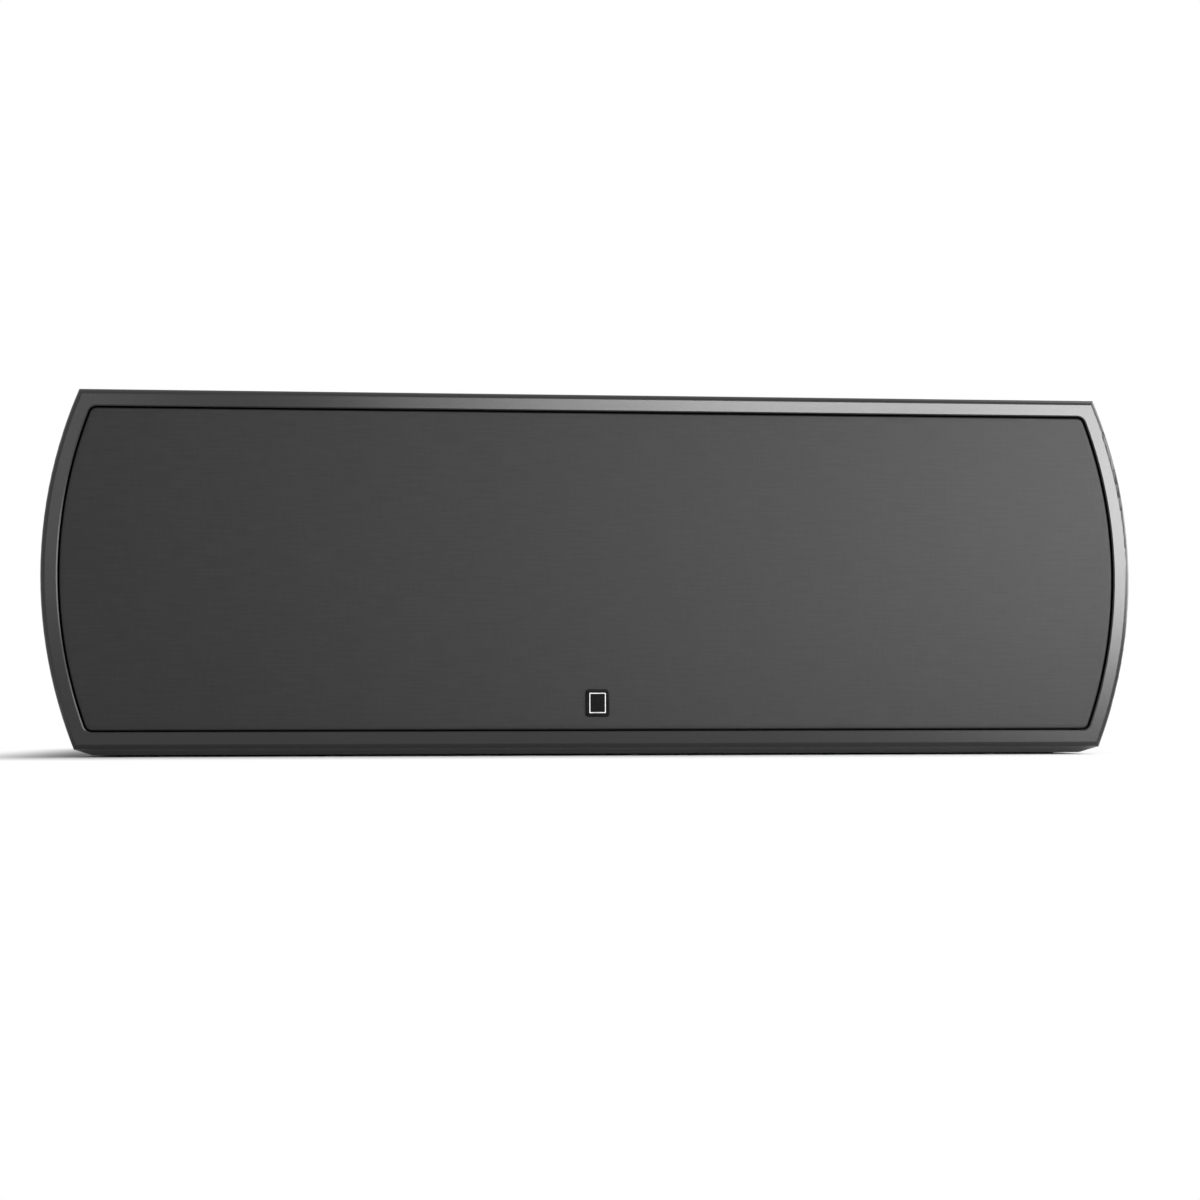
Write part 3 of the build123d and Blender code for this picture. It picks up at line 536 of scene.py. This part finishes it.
painted = {
    satin_paint: ["top_panel", "bottom_panel", "left_end", "right_end"],
    matte_paint: ["front_baffle", "rear_panel", "grille_frame"],
    bare_board: ["brace_left", "brace_right"],
    foot_rubber: ["rubber_feet", "grille_sockets"],
    basket_coat: ["woofer_left_basket", "woofer_right_basket"],
    cone_fibre: [
        "woofer_left_cone", "woofer_right_cone", "woofer_left_dust_cap", "woofer_right_dust_cap",
    ],
    coil_copper: ["woofer_left_voice_coil", "woofer_right_voice_coil", "tweeter_voice_coil"],
    choke_copper: ["woofer_inductor", "tweeter_inductor"],
    zinc_steel: [
        "woofer_left_top_plate", "woofer_right_top_plate", "woofer_left_yoke", "woofer_right_yoke",
        "tweeter_top_plate", "tweeter_yoke",
    ],
    ferrite: ["woofer_left_magnet", "woofer_right_magnet", "tweeter_magnet"],
    moulding: ["tweeter_faceplate", "port_left", "port_right", "terminal_plate"],
    gilt: ["post_red", "post_black", "post_nuts"],
    red_knob: ["knob_red"],
    black_knob: ["knob_black"],
    nylon: ["board_pillars"],
    circuit: ["crossover_board"],
    film_wrap: ["capacitors"],
    white_clay: ["resistors"],
    lead_jacket: ["woofer_lead_left", "woofer_lead_right", "tweeter_lead", "input_leads"],
    spider_cloth: ["woofer_left_spider", "woofer_right_spider"],
    silk: ["tweeter_dome"],
    roll_rubber: ["woofer_left_surround", "woofer_right_surround"],
    black_zinc: ["woofer_left_screws", "woofer_right_screws", "tweeter_screws", "terminal_screws"],
    wadding: ["damping_pads"],
    badge_black: ["grille_badge"],
    grille_fabric: ["grille_cloth"],
}
for material, names in painted.items():
    for name in names:
        nodes[name].data.materials.clear()
        nodes[name].data.materials.append(material)


# Mesh tools

def piece(name, made, body, slot, *materials, sharp=40.0):
    """Turn finished mesh work into a piece that rides on a body."""
    mesh = bpy.data.meshes.new(name)
    made.to_mesh(mesh)
    made.free()
    for material in materials:
        mesh.materials.append(material)
    mesh.polygons.foreach_set("use_smooth", [True] * len(mesh.polygons))
    mesh.set_sharp_from_angle(angle=radians(sharp))
    obj = bpy.data.objects.new(name, mesh)
    bpy.context.scene.collection.objects.link(obj)
    if body:
        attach(obj, body)
    return obj


def outline(inset, corner, straight=40, turn=6, bow=24):
    """Points round the cabinet's bowed outline, set in by a distance, with rounded corners."""
    centre = half_width - bow_radius
    radius = bow_radius - inset
    top = half_height - inset
    corner_z = top - corner
    corner_x = centre + sqrt((radius - corner) ** 2 - corner_z**2)
    aim = Vector((corner_x - centre, corner_z)).normalized()
    tilt = aim.angle(Vector((0, 1)))
    quarter = [(corner_x * k / straight, top) for k in range(straight)]
    for k in range(turn):
        angle = tilt * k / turn
        quarter.append((corner_x + corner * sin(angle), corner_z + corner * cos(angle)))
    for k in range(bow):
        angle = tilt + (pi / 2 - tilt) * k / bow
        quarter.append((centre + radius * sin(angle), radius * cos(angle)))
    quarter.append((half_width - inset, 0.0))
    right = quarter + [(x, -z) for x, z in reversed(quarter[:-1])]
    return right + [(-x, z) for x, z in reversed(right[1:-1])]


def ring_of(made, points, y):
    """A loop of points in a plane that faces forward."""
    return [made.verts.new((x, y, mid_z + z)) for x, z in points]


def bridge(made, first, second):
    """Faces between two loops of the same number of points."""
    count = len(first)
    return [
        made.faces.new((first[k], first[(k + 1) % count], second[(k + 1) % count], second[k]))
        for k in range(count)
    ]


# Grille cloth: one sheet over the front of the frame, round its edges and turned in behind it

def cloth_sections(rim):
    """The cloth's path over an edge of the frame, as distances in from the outside and depths."""
    edge = cloth_edge
    face = front_y + cloth_setback
    back = grille_back_y
    back_edge = 0.7 * mm
    sections = [(edge + rim, face)]
    for k in range(7):
        angle = radians(15 * k)
        sections.append((edge * (1 - sin(angle)), face + edge * (1 - cos(angle))))
    start = sections[-1][1]
    for k in range(1, 4):
        sections.append((0.0, start + (back - back_edge - start) * k / 3))
    for k in range(1, 4):
        angle = radians(30 * k)
        sections.append((back_edge * (1 - cos(angle)), back - back_edge + back_edge * sin(angle)))
    return sections + [(cloth_turn_in / 2, back), (cloth_turn_in, back)]


def grille_sheet():
    """The cloth as one sheet, with its flat pattern, and how far that goes past the front face."""
    inset = cloth_inset
    edge = cloth_edge
    corner = 4.0 * mm
    least_corner = 0.3 * mm
    rim = 2.0 * mm
    sections = cloth_sections(rim)
    made = bmesh.new()
    pattern = made.loops.layers.uv.new("flat_pattern")
    base = outline(inset + edge, corner - edge)
    outward = []
    for k, (x, z) in enumerate(outline(inset, corner)):
        step = Vector((x - base[k][0], z - base[k][1]))
        outward.append(step.normalized())
    run = -rim
    flat = {}
    loops = []
    for k, (depth, y) in enumerate(sections):
        if k:
            run += sqrt((depth - sections[k - 1][0]) ** 2 + (y - sections[k - 1][1]) ** 2)
        points = outline(inset + depth, max(corner - depth, least_corner))
        loop = ring_of(made, points, y)
        for vertex, (x, z), away in zip(loop, base, outward):
            flat[vertex] = (x + away.x * run, z + away.y * run)
        loops.append(loop)
    front = made.faces.new(loops[0])
    for first, second in zip(loops, loops[1:]):
        bridge(made, first, second)
    bmesh.ops.recalc_face_normals(made, faces=made.faces)
    front.normal_update()
    if front.normal.y > 0:
        bmesh.ops.reverse_faces(made, faces=made.faces)
    for face in made.faces:
        for corner_loop in face.loops:
            corner_loop[pattern].uv = flat[corner_loop.vert]
    cloth = piece("grille_fabric_sheet", made, "grille", "grille_cloth", grille_fabric)
    thick = cloth.modifiers.new("thickness", "SOLIDIFY")
    thick.thickness = cloth_thickness
    thick.offset = -1.0
    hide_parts("grille_cloth")
    return cloth, 2 * run


cloth, turned_in = grille_sheet()


# Staples that hold the turned-in cloth to the frame

def staple_places():
    """Places round the back of the frame, with the way that each staple lies."""
    level = half_height - staple_inset
    spacing, end_spacing = 40.0 * mm, 28.0 * mm
    places = []
    for k in range(-6, 7):
        places += [(k * spacing, level, 0.0), (k * spacing, -level, 0.0)]
    for side in (-1, 1):
        for k in range(-2, 3):
            z = k * end_spacing
            reach = half_width - bow_radius + sqrt((bow_radius - staple_inset) ** 2 - z**2)
            places.append((side * reach, z, pi / 2 - side * z / bow_radius))
    return places


def staples():
    """Flat wire bent twice, with its legs in the frame."""
    arch = [(-4.0, -1.0), (-4.0, 0.25), (-3.7, 0.5), (3.7, 0.5), (4.0, 0.25), (4.0, -1.0)]
    rise = 0.8 * mm
    half_wire = 0.6 * mm
    thick = Vector((0.0, 0.15 * mm, 0.0))
    made = bmesh.new()
    for x, z, turn in staple_places():
        run = Vector((cos(turn), 0.0, -sin(turn))) * mm
        cross = Vector((sin(turn), 0.0, cos(turn))) * half_wire
        loops = []
        for along, out in arch:
            middle = Vector((x, grille_back_y + out * rise, mid_z + z)) + run * along
            low, high = middle - thick, middle + thick
            corners = (low - cross, low + cross, high + cross, high - cross)
            loops.append([made.verts.new(corner) for corner in corners])
        for first, second in zip(loops, loops[1:]):
            bridge(made, first, second)
        made.faces.new(loops[0])
        made.faces.new(loops[-1])
    bmesh.ops.recalc_face_normals(made, faces=made.faces)
    piece("grille_staples", made, "grille", "zinc_steel", zinc_steel)


staples()


# Badge: a bare black plate with a raised rim and a fine pale line

def rounded_plate(width, height, corner, steps=5):
    """Points round a rectangle with rounded corners."""
    points = []
    for quarter, (x, z) in enumerate(((1, 1), (-1, 1), (-1, -1), (1, -1))):
        for k in range(steps + 1):
            angle = pi / 2 * (quarter + k / steps)
            points.append((
                x * (width / 2 - corner) + corner * cos(angle),
                z * (height / 2 - corner) + corner * sin(angle),
            ))
    return points


def badge():
    """The plate, from its back edge over the rim and the line to the sunk middle."""
    low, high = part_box("grille_badge")
    width = high[0] - low[0]
    height = high[2] - low[2]
    middle_z = (low[2] + high[2]) / 2
    back, front = high[1], low[1]
    sunk = front + 0.18 * mm
    line = front + 0.08 * mm
    corner, least_corner = 1.6 * mm, 0.3 * mm
    sections = [
        (0.0, back), (0.0, front + 0.3 * mm), (0.12 * mm, line), (0.35 * mm, front),
        (0.8 * mm, front), (0.95 * mm, sunk), (2.0 * mm, sunk),
        (2.05 * mm, line), (2.5 * mm, line), (2.55 * mm, sunk),
    ]
    pale_bands = (7, 8)
    made = bmesh.new()
    loops = []
    for inset, y in sections:
        rounding = max(corner - inset, least_corner)
        points = rounded_plate(width - 2 * inset, height - 2 * inset, rounding)
        loops.append([made.verts.new((x, y, middle_z + z)) for x, z in points])
    for k, (first, second) in enumerate(zip(loops, loops[1:])):
        for face in bridge(made, first, second):
            face.material_index = 1 if k in pale_bands else 0
    made.faces.new(loops[0])
    made.faces.new(loops[-1])
    bmesh.ops.recalc_face_normals(made, faces=made.faces)
    plate = piece("badge_bare_plate", made, "grille", "badge_plate", badge_black, badge_line)
    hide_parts("grille_badge")


badge()


# Turned pieces, each a section swept round an axis that looks forward
full_turn = 2 * pi
same_point = 0.01 * mm


def swept(made, section, centre_x, start=0.0, sweep=full_turn, steps=96):
    """Sweep a closed section, given as radius and depth, and close the ends of a part turn."""
    whole = sweep >= full_turn
    loops = []
    for k in range(steps if whole else steps + 1):
        angle = start + sweep * k / steps
        points = [(centre_x + r * cos(angle), y, mid_z + r * sin(angle)) for r, y in section]
        loops.append([made.verts.new(point) for point in points])
    for first, second in zip(loops, loops[1:]):
        bridge(made, first, second)
    if whole:
        bridge(made, loops[-1], loops[0])
    else:
        made.faces.new(loops[0])
        made.faces.new(loops[-1])
    bmesh.ops.remove_doubles(made, verts=made.verts, dist=same_point)
    bmesh.ops.recalc_face_normals(made, faces=made.faces)


def arc(centre, y, radius, first, last, steps):
    """Points of an arc of a section, between two angles from straight out."""
    points = []
    for k in range(steps + 1):
        angle = radians(first + (last - first) * k / steps)
        points.append((centre + radius * cos(angle), y - radius * sin(angle)))
    return points


def surround_section():
    """Half roll with a soft root at each side, a ribbed outer land and a flat inner one."""
    face = baffle_y + 0.5 * mm
    back = face + 1.0 * mm
    outside, inside, middle = (radius * mm for radius in (70.3, 50.0, 59.75))
    roll_front, roll_back = 5.25 * mm, 4.25 * mm
    edge = 0.3 * mm
    rib = 0.35 * mm
    root = face - 0.15 * mm
    section = [(outside, back), (outside, face + edge), (outside - edge, face)]
    for crest in (69.0 * mm, 67.8 * mm):
        section += [(crest + rib, face), (crest, face - rib), (crest - rib, face)]
    section += [(66.2 * mm, face), (65.45 * mm, root)]
    section += arc(middle, face, roll_front, 9.0, 171.0, 16)
    section += [(54.05 * mm, root), (53.3 * mm, face), (inside + edge, face), (inside, face + edge)]
    section += [(inside, back), (middle - roll_back, back)]
    section += arc(middle, face, roll_back, 180.0, 0.0, 12)
    return section + [(middle + roll_back, back)]


def spider_section():
    """Pleated cloth: a flat collar at the coil, round waves, a flat land on the basket's shelf."""
    collar, first_wave, last_wave, land = (radius * mm for radius in (16.6, 21.0, 45.0, 52.3))
    face = baffle_y + 30.0 * mm
    height, sheet = 1.5 * mm, 1.0 * mm
    waves, steps = 8, 5
    front = [(collar, face)]
    for k in range(waves * steps + 1):
        turn = k / steps
        if turn < 1:
            rise = sin(pi / 2 * turn)
        elif turn > waves - 1:
            rise = sin(pi / 2 * (waves - turn))
        else:
            rise = -cos(pi * turn)
        front.append((first_wave + (last_wave - first_wave) * turn / waves, face - height * rise))
    front.append((land, face))
    return front + [(radius, y + sheet) for radius, y in reversed(front)]


def flexing_ring(label, side, section, slot, finish):
    """A ring in sectors, each one a piece of its own."""
    count = 16
    sweep = full_turn / count
    centre = Vector((-woofer_x if side == "left" else woofer_x, baffle_y, mid_z))
    for k in range(count):
        made = bmesh.new()
        swept(made, section, centre.x, sweep * k, sweep, steps=6)
        sector = piece(f"{label}_{side}_{k:02d}", made, None, slot, finish)
        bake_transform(sector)
        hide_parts(f"woofer_{side}_{label}")


for side in ("left", "right"):
    flexing_ring(
        "surround", side, surround_section(), "black_rubber", roll_rubber,
    )
    flexing_ring(
        "spider", side, spider_section(), "spider_cloth", spider_cloth,
    )


def dome():
    """Soft dome with its own small roll, formed from one piece of cloth."""
    face = baffle_y + 4.2 * mm
    sheet = 0.5 * mm
    edge = 13.2 * mm
    rise = 5.2 * mm
    roll = 2.05 * mm
    flange = 21.6 * mm
    steps = 18
    crown = (edge**2 + rise**2) / (2 * rise)
    front = []
    for k in range(steps + 1):
        radius = edge * k / steps
        front.append((radius, face - rise + crown - sqrt(crown**2 - radius**2)))
    front += reversed(arc(edge + roll, face, roll, 0.0, 172.0, 12))
    front += [(flange, face)]
    back = [(radius, y + sheet) for radius, y in reversed(front)]
    made = bmesh.new()
    swept(made, front + back, 0.0)
    soft = piece("silk_dome", made, "cabinet", "silk_dome", silk, sharp=60.0)
    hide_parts("tweeter_dome")


dome()


# Pan-head wood screws with a cross recess and a thread

def cross_recess():
    """Points round a cross with four arms, in millimetres."""
    arm, tip = 0.5, 1.9
    half_way = (tip + arm) / 2
    corner = [(tip, 0.0), (tip, arm), (half_way, arm), (arm, arm), (arm, half_way), (arm, tip)]
    cross = []
    for k in range(4):
        turn = pi / 2 * k
        cross += [(u * cos(turn) - v * sin(turn), u * sin(turn) + v * cos(turn)) for u, v in corner]
    return cross


def wood_screw(made, x, y, z, out, spin):
    """One screw, in millimetres from its head's seat at x, y, z, with the head towards out."""
    cross = cross_recess()
    circle = [(cos(pi / 12 * k), sin(pi / 12 * k)) for k in range(24)]
    recess = ((0.62, 0.8), (1.0, 2.12))
    head = ((2.6, 2.1), (3.2, 1.8), (3.6, 1.25), (3.8, 0.6), (3.75, 0.0), (2.0, 0.0))
    core, crest, half_pitch, half_turns = 1.5, 2.0, 0.62, 20
    neck, tip, length = 0.8, 0.15, 15.0
    loops = []

    def level(points, scale, height):
        """A loop at a height over the seat."""
        loop = []
        for u, v in points:
            across = (u * cos(spin) - v * sin(spin)) * scale * mm
            rise = (u * sin(spin) + v * cos(spin)) * scale * mm
            loop.append(made.verts.new((x + across, y + out * height * mm, z + rise)))
        loops.append(loop)

    for scale, height in recess:
        level(cross, scale, height)
    for radius, height in head:
        level(circle, radius, height)
    for k in range(half_turns):
        level(circle, core if k % 2 else crest, -neck - half_pitch * k)
    level(circle, tip, -length)
    for first, second in zip(loops, loops[1:]):
        bridge(made, first, second)
    made.faces.new(loops[0])
    made.faces.new(loops[-1])


def screw_set(node, places, seat_y, out):
    """The screws of one node, each turned a little further."""
    first_spin, next_spin = 0.4, 1.1
    made = bmesh.new()
    for k, (x, z) in enumerate(places):
        wood_screw(made, x, seat_y, z, out, first_spin + next_spin * k)
    bmesh.ops.recalc_face_normals(made, faces=made.faces)
    screws = piece(f"{node}_pan_head", made, "cabinet", "black_screw", black_zinc, sharp=35.0)
    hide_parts(node)


def round_driver(centre_x, radius, count, first):
    """Places of a driver's screws."""
    turns = [radians(first + 360.0 * k / count) for k in range(count)]
    return [(centre_x + radius * cos(a), mid_z + radius * sin(a)) for a in turns]


woofer_screw_circle = 77.5 * mm
tweeter_screw_circle = 46.0 * mm
sunk_y = baffle_y + 1.6 * mm
plate_y = rear_y + 4.0 * mm
plate_screw_x, plate_screw_z = 41.5 * mm, 25.5 * mm
plate_screws = [(x * plate_screw_x, mid_z + z * plate_screw_z) for x in (-1, 1) for z in (-1, 1)]
for side, x in (("left", -woofer_x), ("right", woofer_x)):
    screw_set(f"woofer_{side}_screws", round_driver(x, woofer_screw_circle, 6, 90.0), sunk_y, -1)
screw_set("tweeter_screws", round_driver(0.0, tweeter_screw_circle, 4, 45.0), sunk_y, -1)
screw_set("terminal_screws", plate_screws, plate_y, 1)


# Plus and minus marks over the binding posts

def polarity_marks():
    """Raised bars with rounded edges: two that cross, and one."""
    long, short, thick, rounding = 5.2 * mm, 1.2 * mm, 0.5 * mm, 0.12 * mm
    mark_y, mark_z = rear_y + 4.15 * mm, mid_z + 17.0 * mm
    made = bmesh.new()
    bars = [(-post_x, long, short), (-post_x, short, long), (post_x, long, short)]
    for x, width, height in bars:
        bar = bmesh.ops.create_cube(made, size=1.0)["verts"]
        middle = Vector((x, mark_y, mark_z))
        for vertex in bar:
            u, v, w = vertex.co
            vertex.co = middle + Vector((u * width, v * thick, w * height))
    bmesh.ops.bevel(made, geom=made.edges[:], offset=rounding, segments=2, affect="EDGES")
    piece("polarity_marks", made, "cabinet", "nylon", mark_paint)


polarity_marks()


# Damping pads: loose wadding glued under the top panel

def damping_pad(name, side):
    """A lumpy pad, flat where it is glued and crowned below, with its sides drawn in."""
    low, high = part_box("damping_pads")
    width = 140.0 * mm
    draw_in, slack_share = 0.03, 0.05
    edge_share, lump_share = 0.4, 0.08
    middle_x = side * (high[0] - width / 2)
    made = bmesh.new()
    bmesh.ops.create_cube(made, size=2.0)
    bmesh.ops.subdivide_edges(made, edges=made.edges[:], cuts=15, use_grid_fill=True)
    for vertex in made.verts:
        u, v, w = vertex.co
        crown = sqrt(max(0.0, (1 - abs(u) ** 4) * (1 - abs(v) ** 4)))
        lump = fabric_noise.noise(Vector((u * 3.1 + side * 7, v * 2.7, w)))
        thick = edge_share + (1 - edge_share) * crown
        drop = (1 - w) / 2 * thick * (1 - lump_share + lump_share * lump)
        slack = slack_share * (1 - w) / 2
        pull_x = 1.0 - draw_in * (1 - v * v) * abs(u) - slack
        pull_y = 1.0 - draw_in * (1 - u * u) * abs(v) - slack
        x = middle_x + u * width / 2 * pull_x
        y = (low[1] + high[1]) / 2 + v * (high[1] - low[1]) / 2 * pull_y
        vertex.co = (x, y, high[2] - drop * (high[2] - low[2]))
    bmesh.ops.recalc_face_normals(made, faces=made.faces)
    pad = piece(name, made, "cabinet", "wadding", wadding, sharp=70.0)
    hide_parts("damping_pads")


damping_pad("wadding_left", -1)
damping_pad("wadding_right", 1)


# Small roundings on moulded and turned pieces
roundings = {
    "rubber_feet": 0.3 * mm,
    "knob_red": 0.35 * mm,
    "knob_black": 0.35 * mm,
    "terminal_plate": 0.6 * mm,
}
for name, width in roundings.items():
    soften = nodes[name].modifiers.new("rounding", "BEVEL")
    soften.width = width
    soften.segments = 3
    soften.limit_method = "ANGLE"
    soften.angle_limit = radians(35)
    soften.harden_normals = False


# Camera, where the photograph was taken from
camera = bpy.data.cameras.new("camera")
camera.lens = 57.0
camera.sensor_width = 36.0
camera.clip_start = 0.01
eye = bpy.data.objects.new("camera", camera)
bpy.context.scene.collection.objects.link(eye)
eye_place = Vector((-85.0, -1194.6, 21.8)) * mm
yaw, pitch, roll = (radians(angle) for angle in (4.69, -3.51, -0.10))
turn_yaw = Matrix(((cos(yaw), -sin(yaw), 0), (sin(yaw), cos(yaw), 0), (0, 0, 1)))
turn_pitch = Matrix(((1, 0, 0), (0, cos(pitch), -sin(pitch)), (0, sin(pitch), cos(pitch))))
turn_roll = Matrix(((cos(roll), 0, sin(roll)), (0, 1, 0), (-sin(roll), 0, cos(roll))))
right, ahead, up = turn_roll @ turn_pitch @ turn_yaw
facing = Matrix((right, up, -ahead)).transposed()
eye.matrix_world = Matrix.Translation(eye_place) @ facing.to_4x4()
bpy.context.scene.camera = eye


# Studio: a pale floor that goes to white away from the speaker, and soft boxes before and beside it

def seen_directly(tree):
    """1 for what the camera, a mirror or a lens sees, and 0 for what only lights the scene."""
    path = put(tree, "ShaderNodeLightPath").outputs
    seen = calc(tree, "MAXIMUM", path["Is Camera Ray"], path["Is Glossy Ray"])
    return calc(tree, "MAXIMUM", seen, path["Is Transmission Ray"])


def studio_floor():
    """A card that keeps the speaker's shadow close to it."""
    half_floor = 6.0
    half_print_x, half_print_y = 0.29, 0.14
    shadow_reach = 0.09
    made = bmesh.new()
    bmesh.ops.create_grid(made, x_segments=1, y_segments=1, size=half_floor)
    mesh = bpy.data.meshes.new("studio_floor")
    made.to_mesh(mesh)
    made.free()
    floor = bpy.data.objects.new("studio_floor", mesh)
    bpy.context.scene.collection.objects.link(floor)
    material = bpy.data.materials.new("floor_card")
    material.use_nodes = True
    tree = material.node_tree
    shader = tree.nodes["Principled BSDF"]
    shader.inputs["Base Color"].default_value = (0.8, 0.8, 0.8, 1.0)
    shader.inputs["Roughness"].default_value = 0.9
    shader.inputs["Specular IOR Level"].default_value = 0.0
    split = put(tree, "ShaderNodeSeparateXYZ")
    feed(tree, split.inputs[0], put(tree, "ShaderNodeTexCoord").outputs["Object"])

    def past_squared(value, limit):
        """Square of the distance past the speaker's side."""
        past = calc(tree, "SUBTRACT", calc(tree, "ABSOLUTE", value), limit)
        return calc(tree, "POWER", calc(tree, "MAXIMUM", past, 0.0), 2.0)

    side = past_squared(split.outputs["X"], half_print_x)
    depth = past_squared(split.outputs["Y"], half_print_y)
    away = calc(tree, "SQRT", calc(tree, "ADD", side, depth))
    white = put(tree, "ShaderNodeEmission")
    mixed = put(tree, "ShaderNodeMixShader")
    whiten = ramp(tree, away, 0.0, shadow_reach)
    feed(tree, mixed.inputs[0], calc(tree, "MULTIPLY", whiten, seen_directly(tree)))
    feed(tree, mixed.inputs[1], shader.outputs[0])
    feed(tree, mixed.inputs[2], white.outputs[0])
    feed(tree, tree.nodes["Material Output"].inputs["Surface"], mixed.outputs[0])
    mesh.materials.append(material)


def soft_box(name, place, aim, width, height, radiance):
    """A rectangular lamp of a given brightness, turned towards a point."""
    lamp = bpy.data.lights.new(name, "AREA")
    lamp.shape = "RECTANGLE"
    lamp.size = width
    lamp.size_y = height
    lamp.energy = radiance * pi * width * height
    obj = bpy.data.objects.new(name, lamp)
    bpy.context.scene.collection.objects.link(obj)
    obj.location = place
    obj.rotation_euler = (Vector(aim) - Vector(place)).to_track_quat("-Z", "Y").to_euler()


def studio_world():
    """A white room that lights the scene less than it shows."""
    room_light, room_seen = 0.4, 1.0
    world = bpy.data.worlds.new("studio_world")
    bpy.context.scene.world = world
    world.use_nodes = True
    tree = world.node_tree
    sky = tree.nodes["Background"]
    sky.inputs["Color"].default_value = (1.0, 1.0, 1.0, 1.0)
    feed(tree, sky.inputs["Strength"], between(tree, seen_directly(tree), room_light, room_seen))


# Each soft box: its place, the point it faces, its width and height, and how bright it is
soft_boxes = {
    "strip_top_left": ((-0.08, -2.34, 0.61), (-0.08, 0.0, 0.61), 0.25, 0.26, 5.0),
    "strip_top_middle": ((0.17, -2.34, 0.61), (0.17, 0.0, 0.61), 0.25, 0.26, 12.0),
    "strip_top_right": ((0.795, -2.34, 0.61), (0.795, 0.0, 0.61), 1.0, 0.26, 18.5),
    "strip_left": ((-0.73, -2.34, 0.45), (-0.73, 0.0, 0.45), 0.3, 0.5, 1.5),
    "strip_right": ((1.16, -2.34, 0.33), (1.16, 0.0, 0.33), 0.56, 0.38, 19.0),
    "box_front": ((0.92, -0.92, 0.3), (0.25, -0.14, 0.14), 0.5, 0.26, 18.0),
    "box_side": ((1.5, -0.1, 0.235), (0.3, -0.1, 0.235), 1.6, 0.37, 5.0),
    "box_above": ((1.25, -0.2, 1.15), (0.2, -0.1, 0.15), 1.2, 1.3, 4.2),
}

studio_floor()
studio_world()
for name, settings in soft_boxes.items():
    soft_box(name, *settings)

bpy.context.scene.view_settings.view_transform = "Standard"
